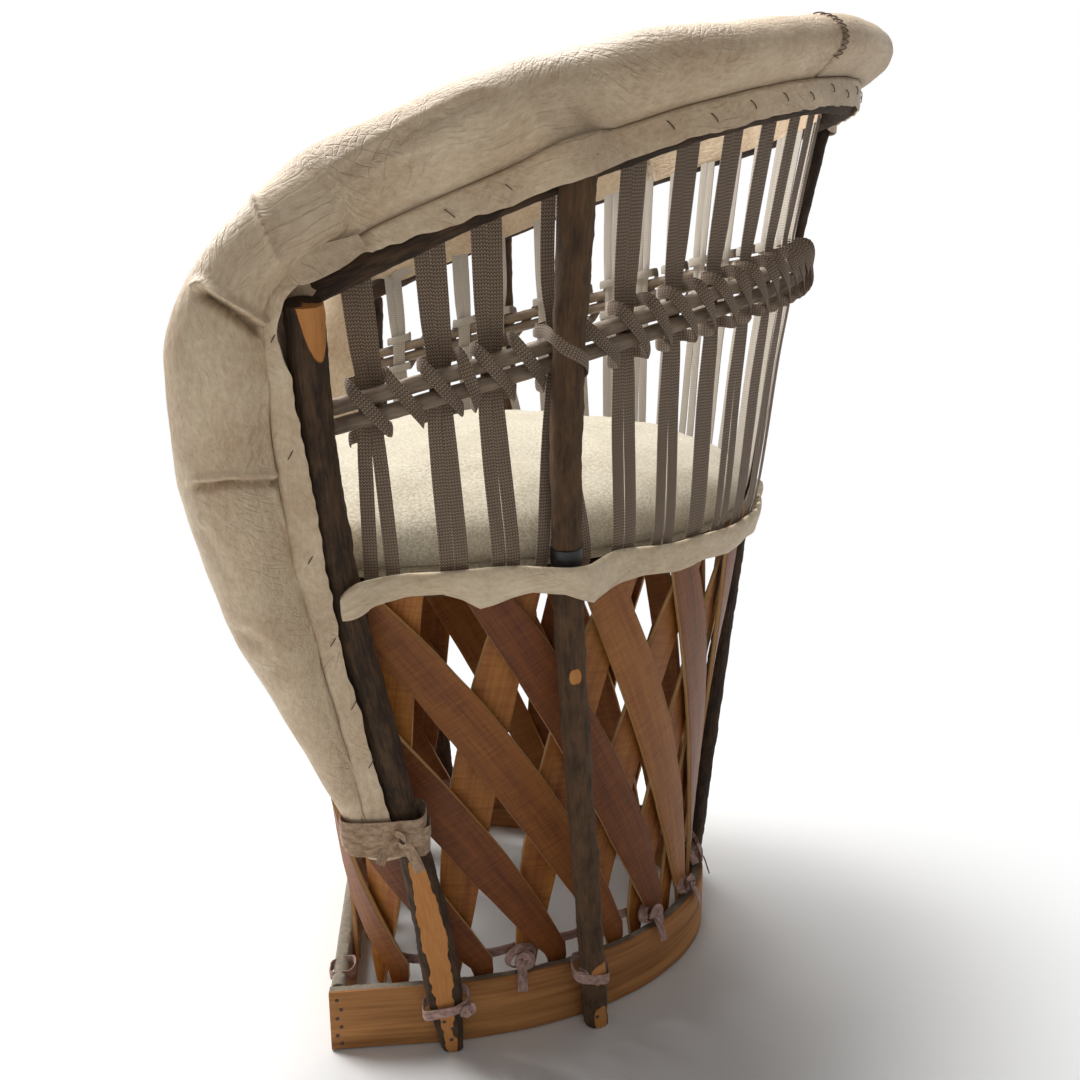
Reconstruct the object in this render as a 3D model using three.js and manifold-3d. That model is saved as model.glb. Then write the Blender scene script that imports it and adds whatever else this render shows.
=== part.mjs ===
// Equipale chair: a barrel armchair with a lattice of crossing splints between a bent board
// base and a seat ring, bark-covered posts, a webbing back of woven tape, and leather covers.
// Millimetres, +Z up. The sitter faces -Y and the sitter's left is +X.
import * as THREE from 'three';
import { mergeVertices } from 'three/addons/utils/BufferGeometryUtils.js';
import Module from 'manifold-3d';

const wasm = await Module();
wasm.setup();

// Clearances between pieces that touch
const fitGap = 0.3;
const wrapGap = 0.5;

// Base: a board bent to a D and a straight board nailed between its ends
const base = {
  halfWidth: 188, bowLength: 269.5, bowCentreY: -28.5, frontY: -113,
  height: 54, boardThickness: 12, crossThickness: 14, cornerRadius: 24,
};

// Seat: the outline on which the tops of the outer splints stand
const seat = {
  halfWidth: 267.5, bowLength: 325, bowCentreY: -61, frontY: -146, cornerRadius: 85,
  splintTopZ: 412.2, ringRadius: 11, ringZ: 411.6, ringJoint: 0.8,
  padBottomZ: 422.4, padCrownZ: 496, padCentreY: 55,
  ringInset: 25.2, bandThickness: 2.4, bandTopZ: 431, bandBottomZ: 406, bandDroop: 9,
  bandOffset: 9.4, bandClear: 2.6, bandSpread: 45, skirtInner: 5.9, hemTuck: 6, hemDepth: 0.6,
};
// How far the posts, the band and the webbing lean out for each millimetre up
const leanShare = 0.24;

// Splints: two layers of flat lens-shaped boards that lean opposite ways
const splint = {
  perLayer: 18, thickness: 5, width: 38, tipWidth: 13, layerPitch: 8.2, footZ: 30, bendRise: 5, waist: 8,
  footCornerRadius: 80,
};
// Shares of the outline, counted from the middle of the back towards the sitter's left
const splintLeanShare = 0.106;
const splintForwardShare = 0.045;
const outerStartShare = 0.506 / splint.perLayer;
const innerStartShare = 0.074 / splint.perLayer;

// The two rails tied across the webbing stand out beyond the seat, and the top hoop beyond the rails
const rail = {
  beyondSide: 33.5, beyondBack: 38, bowCentreY: -76, endAngle: 1.575, radius: 5.2,
  frontZ: 527, backZ: 625, pitch: 12,
};
rail.halfWidth = seat.halfWidth + rail.beyondSide;
rail.bowLength = seat.bowCentreY + seat.bowLength + rail.beyondBack - rail.bowCentreY;
const hoop = {
  beyondSide: 23, beyondBack: 23, bowCentreY: -28, endAngle: 1.75, radius: 11,
  frontZ: 606, backZ: 753, bulge: 59,
};
hoop.halfWidth = rail.halfWidth + hoop.beyondSide;
hoop.bowLength = rail.bowCentreY + rail.bowLength + hoop.beyondBack - hoop.bowCentreY;

// Webbing: straps of two tapes side by side, passing inside the rails
const strap = {
  width: 19, thickness: 1.6, pinchedWidth: 14.6, tapeWidth: 9.4,
  seatOffset: 9, tailZ: 403, postSpread: 16.5, headRise: 7, headExtra: 0.02,
};
const strapsPerSide = 13;
const strapHoopAngle = 1.66;
const strapRailAngle = 1.51;
const strapSeatAngle = 1.54;
const strapSeatEvenShare = 0.92;

// Lashing: one tape that ties every strap to the rails
const lashing = {
  width: 7.4, thickness: 1.3, reachSide: 11.6, reachUp: 16.3, postClear: 2.2, leastGap: 0.4,
};

// Posts: bark-covered sticks outside the splints, the rails and the hoop
const frontPost = {
  radius: 11.5, footThickness: 12, footWidth: 19, topZ: 602,
  beyondSeat: 15.7, beyondRail: 19, beyondHoop: 19.4,
};
const sidePost = {
  radius: 10.5, strapNumber: 10, strapTurn: 0.028, footShareOfBow: 0.86947794, footClear: 1.3734108,
  topRise: 8,
  splitsStrap: true,
};
// A single rear post stands a little to the sitter's right of the middle of the back
const rearPost = { radius: 10, strapNumber: -1, footShareOfBow: -0.24, topRise: 8, splitsStrap: false };
const rearPanelStraps = 3;
const frontPostSeatX = seat.halfWidth + frontPost.beyondSeat;
const frontPostSeatY = -76;
const frontPostRailX = rail.halfWidth + frontPost.beyondRail;
const frontPostRailY = -84;
const frontPostTopX = hoop.halfWidth + frontPost.beyondHoop;
const frontPostTopY = -83.4;
const frontPostFootY = -13.5;
// How the front post swings out and forward between its foot and the seat
const frontPostSwayShares = [
  { height: 0.331, outward: 0.27, forward: 0.24 },
  { height: 0.687, outward: 0.64, forward: 0.656 },
];
const shavedShare = 0.34;

// Arm roll: a padded leather tube over the hoop and down the front posts
const roll = {
  radius: 28, depth: 24, backDepth: 17.3, clear: 5, outward: 5, backOutward: 8,
  frontRadius: 29.5, frontOutward: 4, kneeClear: 3,
  armEndAngle: 1.655, kneeZ: 649,
  tieZ: 226, tieHeight: 34, tieThickness: 2, tieHalfLength: 30, tieHalfWidth: 17.2, tieShift: 1.2,
};
// The roll in front of a post: forward of the post's top, height, size, and width for its size
const rollFrontShares = [
  { forward: 0.16, height: 0.991, size: 0.8, width: 0.92 },
  { forward: 1.2, height: 0.9455, size: 0.763 },
  { forward: 1.7, height: 0.906, size: 0.949 },
  { forward: 1.88, height: 0.841, size: 1 },
  { forward: 1.88, height: 0.769, size: 1 },
  { forward: 1.63, height: 0.683, size: 0.949 },
  { forward: 1.27, height: 0.598, size: 0.864 },
  { forward: 0.843, height: 0.533, size: 0.746 },
  { forward: 0.396, height: 0.47, size: 0.627 },
  { forward: -0.086, height: 0.404, size: 0.525 },
  { forward: -0.514, height: 0.348, size: 0.441 },
  { forward: -0.693, height: 0.316, size: 0.39 },
];
// Size under which the roll stays straight in front of the post
const rollStraightShare = 0.76;
// The roll flattens between these shares of the hoop's climb
const rollFlattenShares = [0.25, 0.75];
const flange = {
  width: 19, frontWidth: 13, thickness: 1.8, rise: 3.5, offset: 12.8, spread: 50,
  frontShift: 11, endZ: 246, endAngle: 1.595,
};
// The corner of the flange above a front post: out and forward of the post's top, rise and width
const flangeCornerShares = [
  { outward: 0.16, forward: -0.84, rise: 0.6, width: 0.9 },
  { outward: 0.74, forward: -0.19, rise: 0.37, width: 0.8 },
  { outward: 1, forward: 0.31, rise: 0.04, width: 0.7 },
];
// Heights of the flange's stretches down the front post, from its end to the post's top
const flangeFrontShares = [0.978, 0.871, 0.77, 0.657, 0.534, 0.404, 0.264, 0.124, 0];

const lace = { width: 9, thickness: 1.8, z: 62 };

// Colours, roughness
const look = {
  bark: { color: '#574a3e', roughness: 0.9 },
  board: { color: '#9a7045', roughness: 0.75 },
  splintOuter: { color: '#8b5a2b', roughness: 0.6 },
  splintInner: { color: '#a06a38', roughness: 0.65 },
  leather: { color: '#cfc8a8', roughness: 0.5 },
  suede: { color: '#8e8170', roughness: 0.95 },
  hide: { color: '#c9bfa0', roughness: 0.85 },
  tape: { color: '#7a685a', roughness: 0.9 },
  laceHide: { color: '#a88c82', roughness: 0.9 },
};

const chair = new THREE.Group();
const v3 = (x, y, z) => new THREE.Vector3(x, y, z);

function material(kind) {
  return new THREE.MeshStandardMaterial({ ...look[kind], metalness: 0 });
}

function place(name, geometry, kind) {
  const mesh = new THREE.Mesh(geometry, material(kind));
  mesh.name = name;
  chair.add(mesh);
  return mesh;
}

// Signed volume, to turn a mesh whose faces point in
function volume(geometry) {
  const p = geometry.attributes.position;
  const index = geometry.index.array;
  const a = v3();
  const b = v3();
  const c = v3();
  let sum = 0;
  for (let i = 0; i < index.length; i += 3) {
    a.fromBufferAttribute(p, index[i]);
    b.fromBufferAttribute(p, index[i + 1]);
    c.fromBufferAttribute(p, index[i + 2]);
    sum += a.dot(b.cross(c)) / 6;
  }
  return sum;
}

// A closed mesh through rings of equal point counts, capped at its ends or joined end to end.
// The diagonals of opposite faces run the same way, so a twisted flat piece keeps its thickness.
function loft(rings, joined = false) {
  const count = rings[0].length;
  const positions = [];
  rings.forEach((ring) => ring.forEach((p) => positions.push(p.x, p.y, p.z)));
  const index = [];
  const lastRing = joined ? rings.length : rings.length - 1;
  for (let i = 0; i < lastRing; i += 1) {
    const here = i * count;
    const next = ((i + 1) % rings.length) * count;
    for (let j = 0; j < count; j += 1) {
      const k = (j + 1) % count;
      if (j < count / 2) index.push(here + j, next + j, next + k, here + j, next + k, here + k);
      else index.push(here + j, next + j, here + k, here + k, next + j, next + k);
    }
  }
  if (!joined) {
    const end = (rings.length - 1) * count;
    for (let j = 1; j < count - 1; j += 1) {
      index.push(0, j, j + 1);
      index.push(end, end + j + 1, end + j);
    }
  }
  const geometry = new THREE.BufferGeometry();
  geometry.setAttribute('position', new THREE.Float32BufferAttribute(positions, 3));
  geometry.setIndex(index);
  if (volume(geometry) < 0) {
    for (let i = 0; i < index.length; i += 3) {
      [index[i + 1], index[i + 2]] = [index[i + 2], index[i + 1]];
    }
    geometry.setIndex(index);
  }
  return geometry;
}

function toSolid(geometry) {
  const bare = geometry.clone();
  bare.deleteAttribute('normal');
  bare.deleteAttribute('uv');
  const merged = mergeVertices(bare, 1e-4);
  return new wasm.Manifold(new wasm.Mesh({
    numProp: 3,
    vertProperties: new Float32Array(merged.attributes.position.array),
    triVerts: new Uint32Array(merged.index.array),
  }));
}

function fromSolid(solid) {
  const mesh = solid.getMesh();
  const geometry = new THREE.BufferGeometry();
  geometry.setAttribute('position', new THREE.BufferAttribute(mesh.vertProperties, 3));
  geometry.setIndex(new THREE.BufferAttribute(mesh.triVerts, 1));
  return geometry;
}

function joinAll(geometries) {
  return fromSolid(geometries.map(toSolid).reduce((sum, next) => sum.add(next)));
}

// A flat section: centre, direction of its width, direction of its thickness
function flatRing(centre, across, out, width, thickness) {
  const w = across.clone().normalize().multiplyScalar(width / 2);
  const n = out.clone().normalize().multiplyScalar(thickness / 2);
  return [
    centre.clone().sub(w).sub(n), centre.clone().add(w).sub(n),
    centre.clone().add(w).add(n), centre.clone().sub(w).add(n),
  ];
}

// A round stick of even thickness bent along a curve
function bentStick(curve, radius, steps, sides) {
  const section = new THREE.Shape();
  for (let i = 0; i < sides; i += 1) {
    const angle = (2 * Math.PI * i) / sides;
    const x = radius * Math.cos(angle);
    const y = radius * Math.sin(angle);
    if (i === 0) section.moveTo(x, y);
    else section.lineTo(x, y);
  }
  section.closePath();
  return new THREE.ExtrudeGeometry(section, { steps, extrudePath: curve, bevelEnabled: false });
}

// Closed D outline in plan, from the middle of the back towards the sitter's left
function outline(d, inset) {
  const halfWidth = d.halfWidth - inset;
  const bow = d.bowLength - inset;
  const front = d.frontY + inset;
  const corner = d.cornerRadius - Math.min(inset, d.cornerRadius / 2);
  const path = new THREE.Path();
  path.absellipse(0, d.bowCentreY, halfWidth, bow, Math.PI / 2, 0, true);
  path.lineTo(halfWidth, front + corner);
  path.absarc(halfWidth - corner, front + corner, corner, 0, -Math.PI / 2, true);
  path.lineTo(corner - halfWidth, front);
  path.absarc(corner - halfWidth, front + corner, corner, -Math.PI / 2, -Math.PI, true);
  path.lineTo(-halfWidth, d.bowCentreY);
  path.absellipse(0, d.bowCentreY, halfWidth, bow, Math.PI, Math.PI / 2, true);
  path.arcLengthDivisions = 600;
  return path;
}

// Point and outward direction on an outline at a share of its length
function onOutline(path, share) {
  const u = ((share % 1) + 1) % 1;
  const p = path.getPointAt(u);
  const along = path.getTangentAt(u);
  return { x: p.x, y: p.y, out: v3(-along.y, along.x, 0), along: v3(along.x, along.y, 0) };
}

// Point and outward direction on a bowed curve at an angle from the middle of the back
function onBow(d, angle, offset = 0) {
  const slope = v3(Math.sin(angle) / d.halfWidth, Math.cos(angle) / d.bowLength, 0).normalize();
  const x = d.halfWidth * Math.sin(angle);
  const y = d.bowCentreY + d.bowLength * Math.cos(angle);
  return { x: x + slope.x * offset, y: y + slope.y * offset, out: slope, along: v3(slope.y, -slope.x, 0) };
}

// How far a bowed curve has come from its front end to the middle of the back
function climbShare(d, angle) {
  const frontY = d.bowLength * Math.cos(d.endAngle);
  return (d.bowLength * Math.cos(angle) - frontY) / (d.bowLength - frontY);
}

function rimHeight(d, angle) {
  const share = climbShare(d, angle);
  return d.frontZ + (d.backZ - d.frontZ) * share + (d.bulge ?? 0) * share * (1 - share);
}

function bowCurve(d, rise = 0) {
  const count = 48;
  const points = [];
  for (let i = 0; i <= count; i += 1) {
    const angle = d.endAngle * ((2 * i) / count - 1);
    const p = onBow(d, angle);
    points.push(v3(p.x, p.y, rimHeight(d, angle) + rise));
  }
  return new THREE.CatmullRomCurve3(points);
}

// Base boards
function baseHoop() {
  const steps = 40;
  const rings = [];
  const mid = base.height / 2;
  const toMiddle = base.boardThickness / 2;
  const centreline = { ...base, halfWidth: base.halfWidth - toMiddle, bowLength: base.bowLength - toMiddle };
  const straightEnd = (side) => flatRing(
    v3(side * centreline.halfWidth, base.frontY, mid), v3(0, 0, 1), v3(side, 0, 0),
    base.height, base.boardThickness,
  );
  rings.push(straightEnd(-1));
  for (let i = 0; i <= steps; i += 1) {
    const angle = (Math.PI / 2) * ((2 * i) / steps - 1);
    const p = onBow(centreline, angle);
    rings.push(flatRing(v3(p.x, p.y, mid), v3(0, 0, 1), p.out, base.height, base.boardThickness));
  }
  rings.push(straightEnd(1));
  return loft(rings);
}

function crossBoard() {
  const length = 2 * (base.halfWidth - base.boardThickness - fitGap);
  const board = new THREE.BoxGeometry(length, base.crossThickness, base.height);
  board.translate(0, base.frontY + base.crossThickness / 2, base.height / 2);
  return board;
}

// Splints
const footInset = base.boardThickness + 3 * fitGap + splint.thickness / 2;
const footOutline = {
  ...base, cornerRadius: splint.footCornerRadius,
  frontY: base.frontY + base.crossThickness - base.boardThickness,
};
const footPath = outline(footOutline, footInset);
const topPath = outline(seat, 0);
const splintHeightShares = [0, 0.12, 0.3, 0.5, 0.7, 0.87, 1];
const splintWidthShares = [0.28, 0.62, 0.95, 1, 0.97, 0.8, 0.5];
const bendZ = base.height + splint.bendRise;

// Middle surface of the outer layer, at a share round the seat and a share of the height
function wallPoint(share, heightShare) {
  const footShare = share - splintForwardShare * Math.sin(2 * Math.PI * share);
  const foot = onOutline(footPath, footShare);
  const top = onOutline(topPath, share);
  const waist = 4 * splint.waist * heightShare * (1 - heightShare);
  const out = foot.out.clone().lerp(top.out, heightShare).normalize();
  const straight = v3(foot.x, foot.y, bendZ).lerp(v3(top.x, top.y, seat.splintTopZ), heightShare);
  return straight.addScaledVector(out, -waist);
}

// The same place on a layer, with the direction square to the wall
function onWall(layer, share, heightShare) {
  const nearbyShare = 0.004;
  const round = wallPoint(share + nearbyShare, heightShare).sub(wallPoint(share - nearbyShare, heightShare));
  const up = wallPoint(share, heightShare + nearbyShare).sub(wallPoint(share, heightShare - nearbyShare));
  const out = up.cross(round).normalize();
  const at = wallPoint(share, heightShare).addScaledVector(out, -layer * splint.layerPitch);
  return { at, out };
}

function splintBoard(layer, topShare, lean) {
  const points = splintHeightShares.map((share) => onWall(layer, topShare + lean * (1 - share), share));
  const widths = splintWidthShares.map((share) => (
    splint.tipWidth + (splint.width - splint.tipWidth) * share
  ));
  const tip = { at: points[0].at.clone().setZ(splint.footZ), out: points[0].out };
  points.unshift(tip);
  widths.unshift(splint.tipWidth);
  return loft(points.map((p, i) => {
    const before = points[Math.max(i - 1, 0)].at;
    const after = points[Math.min(i + 1, points.length - 1)].at;
    const direction = after.clone().sub(before).normalize();
    const across = direction.clone().cross(p.out);
    const out = across.clone().cross(direction);
    return flatRing(p.at, across, out, widths[i], splint.thickness);
  }));
}

// Posts
function postAt(d, angle, offset, z) {
  const p = onBow(d, angle, offset);
  return v3(p.x, p.y, z);
}

function strapAngles(number) {
  const share = number / strapsPerSide;
  const late = share ** 4;
  const size = strapSeatEvenShare * Math.abs(share) + (1 - strapSeatEvenShare) * late;
  const seatShare = Math.sign(share) * size;
  const fromPost = Math.abs(number) - sidePost.strapNumber;
  const turn = fromPost >= 0 && fromPost <= 1 ? Math.sign(number) * sidePost.strapTurn : 0;
  return {
    hoop: strapHoopAngle * share + turn, rail: strapRailAngle * share + turn,
    seat: strapSeatAngle * seatShare + turn,
  };
}

function postAtStrap(number) {
  if (Math.abs(number) === sidePost.strapNumber) return sidePost;
  return number === rearPost.strapNumber ? rearPost : undefined;
}

const seatBow = { halfWidth: seat.halfWidth, bowLength: seat.bowLength, bowCentreY: seat.bowCentreY };
const postRailOffset = rail.radius + fitGap;
const postHoopOffset = (hoop.radius + fitGap) * Math.hypot(1, leanShare);

function postCurve(side, post, footX, footY) {
  const angles = strapAngles(post.strapNumber);
  const top = rimHeight(hoop, angles.hoop) + post.topRise;
  const seatOffset = post.splitsStrap
    ? splint.thickness / 2 + 2 * wrapGap + fitGap
    : strap.seatOffset + strap.thickness / 2 + fitGap;
  const points = [
    v3(footX, footY, 0),
    postAt(seatBow, angles.seat, seatOffset + post.radius, seat.padBottomZ),
    postAt(rail, angles.rail, postRailOffset + post.radius, rimHeight(rail, angles.rail)),
    postAt(hoop, angles.hoop, postHoopOffset + post.radius + fitGap + leanShare * post.topRise, top),
  ];
  return new THREE.CatmullRomCurve3(points.map((p) => v3(side * p.x, p.y, p.z)));
}

// A stick of round section whose size may change along it; widths are along Y, depths along X
function shapedStick(curve, steps, sides, sizeAt) {
  const rings = [];
  for (let i = 0; i <= steps; i += 1) {
    const share = i / steps;
    const centre = curve.getPointAt(share);
    const size = sizeAt(share, centre);
    const ring = [];
    for (let j = 0; j < sides; j += 1) {
      const angle = (2 * Math.PI * (j + 0.5)) / sides;
      ring.push(v3(centre.x + size.x * Math.cos(angle), centre.y + size.y * Math.sin(angle), centre.z));
    }
    rings.push(ring);
  }
  return loft(rings);
}

const postSteps = 12;
const postSides = 8;

function frontPostCurve(side) {
  const footX = base.halfWidth + fitGap + frontPost.footThickness / 2;
  const points = [
    v3(footX, frontPostFootY, 0),
    ...frontPostSwayShares.map((sway) => v3(
      THREE.MathUtils.lerp(footX, frontPostSeatX, sway.outward),
      THREE.MathUtils.lerp(frontPostFootY, frontPostSeatY, sway.forward),
      seat.padBottomZ * sway.height,
    )),
    v3(frontPostSeatX, frontPostSeatY, seat.padBottomZ),
    v3(frontPostRailX, frontPostRailY, rail.frontZ + rail.pitch / 2),
    v3(frontPostTopX, frontPostTopY, frontPost.topZ),
  ];
  return new THREE.CatmullRomCurve3(points.map((p) => v3(side * p.x, p.y, p.z)));
}

function frontPostStick(side) {
  return shapedStick(frontPostCurve(side), postSteps + 2, postSides, (share) => {
    const shaved = THREE.MathUtils.smoothstep(share, 0, shavedShare);
    return {
      x: THREE.MathUtils.lerp(frontPost.footThickness / 2, frontPost.radius, shaved),
      y: THREE.MathUtils.lerp(frontPost.footWidth / 2, frontPost.radius, shaved),
    };
  });
}

function roundPost(side, post, footX, footY) {
  return shapedStick(postCurve(side, post, footX, footY), postSteps, postSides, () => (
    { x: post.radius, y: post.radius }
  ));
}

// Straps
const strapRailOffset = rail.radius + fitGap + strap.thickness / 2;
const strapHoopOffset = hoop.radius + fitGap + strap.thickness / 2;

function strapRun(number, shift, width, pinchedWidth) {
  const angles = strapAngles(number);
  const head = rimHeight(hoop, angles.hoop) + strap.headRise;
  const middle = rimHeight(rail, angles.rail) + rail.pitch / 2;
  const nearRail = lashing.reachUp + lashing.width / 2;
  const tailOffset = strap.seatOffset - leanShare * (seat.bandTopZ - strap.tailZ);
  const atRail = { d: rail, angle: angles.rail, offset: -strapRailOffset, width: pinchedWidth, shift: 0 };
  const stations = [
    { d: hoop, angle: angles.hoop, offset: -strapHoopOffset, z: head, width, shift: 0 },
    { ...atRail, z: middle + nearRail },
    { ...atRail, z: middle - nearRail },
    { d: seatBow, angle: angles.seat, offset: strap.seatOffset, z: seat.bandTopZ, width, shift },
    { d: seatBow, angle: angles.seat, offset: tailOffset, z: strap.tailZ, width, shift },
  ];
  const rings = stations.map((s) => {
    const p = onBow(s.d, s.angle, s.offset);
    const centre = v3(p.x, p.y, s.z).addScaledVector(p.along, s.shift);
    return flatRing(centre, p.along, p.out, s.width, strap.thickness);
  });
  return loft(rings);
}

function strapsOf(number) {
  if (!postAtStrap(number)?.splitsStrap) return [strapRun(number, 0, strap.width, strap.pinchedWidth)];
  return [1, -1].map((way) => strapRun(number, way * strap.postSpread, strap.tapeWidth, strap.tapeWidth));
}

// The tape that runs inside the hoop from strap to strap
function strapHeadRun(from, to) {
  const steps = 2 * Math.abs(to - from);
  const headThickness = strap.thickness + strap.headExtra;
  const rings = [];
  for (let i = 0; i <= steps; i += 1) {
    const angles = strapAngles(from + ((to - from) * i) / steps);
    const p = onBow(hoop, angles.hoop, -strapHoopOffset);
    const z = rimHeight(hoop, angles.hoop) + strap.headRise - strap.tapeWidth / 2;
    rings.push(flatRing(v3(p.x, p.y, z), v3(0, 0, 1), p.out, strap.tapeWidth, headThickness));
  }
  return loft(rings);
}

function webbingPanel(from, to) {
  const pieces = [strapHeadRun(from, to)];
  for (let number = from; number <= to; number += 1) pieces.push(...strapsOf(number));
  return joinAll(pieces);
}

// Lashing: places along the rail, outward from it and up from its middle, with the tape's face.
// The tape slants across both rails outside and runs level behind each strap, below and above them.
const lashOut = rail.radius + 2 * wrapGap + lashing.thickness / 2;
const lashIn = rail.radius + fitGap + strap.thickness + wrapGap + lashing.thickness / 2;
const postLoopTurns = [80, 40, 0, -40, -80];

function lashingStations(number) {
  const w = lashing.reachSide;
  const h = lashing.reachUp;
  const turn = (right, out, up, facing) => (
    { along: right, out, up, face: [-Math.sign(right), facing], mitre: Math.SQRT2 }
  );
  const outside = (right, up, facing) => turn(right, lashOut, up, facing);
  const inside = (right, up) => turn(right, -lashIn, up, 1);
  const post = postAtStrap(number);
  const overPost = !post ? [] : postLoopTurns.map((degrees) => {
    const angle = THREE.MathUtils.degToRad(degrees);
    const reach = post.radius + lashing.postClear + lashing.thickness / 2;
    const up = -(h - lashing.width / 2) * (degrees / postLoopTurns[0]);
    const centreOut = postRailOffset + post.radius + leanShare * (up + rail.pitch / 2);
    return {
      along: reach * Math.sin(angle), out: centreOut + reach * Math.cos(angle), up,
      face: [-Math.sin(angle), -Math.cos(angle)],
    };
  });
  return [
    outside(-w, -h, 1), inside(-w, -h), inside(w, -h), { ...outside(w, -h, -1), slants: !post },
    ...overPost,
    outside(-w, h, -1), inside(-w, h), inside(w, h), { ...outside(w, h, 1), slants: true },
  ];
}

function lashingPoints(from, to) {
  const points = [];
  for (let number = from; number >= to; number -= 1) {
    const angle = strapAngles(number).rail;
    const speed = Math.hypot(rail.halfWidth * Math.cos(angle), rail.bowLength * Math.sin(angle));
    lashingStations(number).forEach((s) => {
      const here = angle - s.along / speed;
      const p = onBow(rail, here, s.out);
      const z = rimHeight(rail, here) + rail.pitch / 2 + s.up;
      const face = p.along.clone().multiplyScalar(-s.face[0]).addScaledVector(p.out, s.face[1]);
      const thickness = lashing.thickness * (s.mitre ?? 1);
      points.push({ at: v3(p.x, p.y, z), face, thickness, slants: s.slants });
    });
  }
  return points.flatMap((p, i) => {
    const next = points[i + 1];
    if (!p.slants || !next) return [p];
    const face = p.face.clone().add(next.face);
    return [p, { at: p.at.clone().lerp(next.at, 0.5), face, thickness: lashing.thickness }];
  });
}

// Least distance between stretches of the tape that aren't neighbours, less its thickness
function leastSelfGap(points) {
  let least = Infinity;
  const apart = 3;
  for (let i = 0; i < points.length; i += 1) {
    for (let j = i + apart; j < points.length; j += 1) {
      least = Math.min(least, points[i].at.distanceTo(points[j].at));
    }
  }
  return least - lashing.width;
}

function lashingTape(name, from, to) {
  const points = lashingPoints(from, to);
  const gap = leastSelfGap(points);
  console.log(`${name}: least gap to itself ${gap.toFixed(2)} mm, wanted over ${lashing.leastGap} mm`);
  const rings = points.map((p, i) => {
    const before = points[Math.max(i - 1, 0)].at;
    const after = points[Math.min(i + 1, points.length - 1)].at;
    const incoming = p.at.clone().sub(before).normalize();
    const outgoing = after.clone().sub(p.at).normalize();
    const across = incoming.add(outgoing).cross(p.face);
    return flatRing(p.at, across, p.face, lashing.width, p.thickness);
  });
  return loft(rings);
}

// Seat pad: a crowned cushion whose sides pull in under its widest line. Its hide is drawn
// down over the tops of the splints along the front, between the front posts.
const padScaleShares = [0.965, 0.994, 1, 0.985, 0.94, 0.85, 0.7, 0.5, 0.25];
const padRiseShares = [0.06, 0.14, 0.26, 0.41, 0.55, 0.69, 0.82, 0.92, 0.98];
const padInset = 2;
const padFloorShare = 0.9;
const skirtEndShare = 0.156;
const skirtFadeShare = 0.01;
const skirtStationShares = [0.156, 0.161, 0.166, 0.171, 0.176];

function seatPad() {
  const around = 52;
  const path = outline(seat, padInset);
  const centre = v3(0, seat.padCentreY, 0);
  const even = Array.from({ length: around }, (_, i) => i / around);
  const closer = skirtStationShares.flatMap((share) => [0.5 - share, 0.5 + share]);
  const stations = [...even, ...closer].sort((one, other) => one - other).map((share) => {
    const fromFront = Math.abs(share - 0.5);
    const deepEnd = skirtEndShare + skirtFadeShare;
    return {
      ...onOutline(path, share),
      deep: 1 - THREE.MathUtils.smoothstep(fromFront, skirtEndShare, deepEnd),
      wide: 1 - THREE.MathUtils.smoothstep(fromFront, deepEnd, deepEnd + skirtFadeShare),
    };
  });
  const floorZ = seat.padBottomZ + seat.hemDepth;
  const scaled = (scale, z) => stations.map((p) => (
    v3(p.x, p.y, 0).sub(centre).multiplyScalar(scale).add(centre).setZ(z)
  ));
  const hem = (thickness, zAt) => stations.map((p) => {
    const out = p.wide * (seat.skirtInner + padInset + seat.hemTuck) - seat.hemTuck + thickness;
    return v3(p.x, p.y, zAt(p.deep)).addScaledVector(p.out, out);
  });
  const hemZ = (deep) => THREE.MathUtils.lerp(seat.padBottomZ, seat.bandBottomZ, deep);
  const levels = padScaleShares.map((scale, level) => (
    scaled(scale, THREE.MathUtils.lerp(seat.padBottomZ, seat.padCrownZ, padRiseShares[level]))
  ));
  return loft([
    scaled(padFloorShare, floorZ), hem(0, () => floorZ), hem(0, hemZ),
    hem(seat.bandThickness, hemZ), hem(seat.bandThickness, () => floorZ + seat.hemDepth), ...levels,
  ]);
}

function seatRing() {
  const path = outline(seat, seat.ringInset);
  const points = [];
  const count = 44;
  const jointShare = seat.ringJoint / path.getLength() / 2;
  for (let i = 0; i <= count; i += 1) {
    const p = onOutline(path, 0.5 + jointShare + ((1 - 2 * jointShare) * i) / count);
    points.push(v3(p.x, p.y, seat.ringZ));
  }
  return bentStick(new THREE.CatmullRomCurve3(points), seat.ringRadius, count, 7);
}

// Offset of a band that swings out round the posts it passes
function offsetRoundPosts(p, posts, plain, clear, spread) {
  return posts.reduce((most, post) => {
    const toPost = v3(post.at.x - p.x, post.at.y - p.y, 0);
    if (toPost.length() > 2 * spread) return most;
    const reach = Math.abs(toPost.dot(p.along)) / spread;
    if (reach >= 1) return most;
    const beyond = toPost.dot(p.out) + post.radius + clear;
    return Math.max(most, THREE.MathUtils.lerp(plain, beyond, Math.cos((reach * Math.PI) / 2) ** 2));
  }, plain);
}

const sideFoot = onBow(base, Math.asin(sidePost.footShareOfBow), sidePost.footClear + sidePost.radius);
const sideCurves = [1, -1].map((side) => postCurve(side, sidePost, sideFoot.x, sideFoot.y));
const rearFoot = onBow(base, Math.asin(rearPost.footShareOfBow), fitGap + wrapGap + rearPost.radius);
const rearCurve = postCurve(1, rearPost, rearFoot.x, rearFoot.y);
const frontCurves = [1, -1].map((side) => frontPostCurve(side));
const allPosts = [
  ...frontCurves.map((curve) => ({ curve, radius: frontPost.radius })),
  ...sideCurves.map((curve) => ({ curve, radius: sidePost.radius })),
  { curve: rearCurve, radius: rearPost.radius },
];

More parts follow.
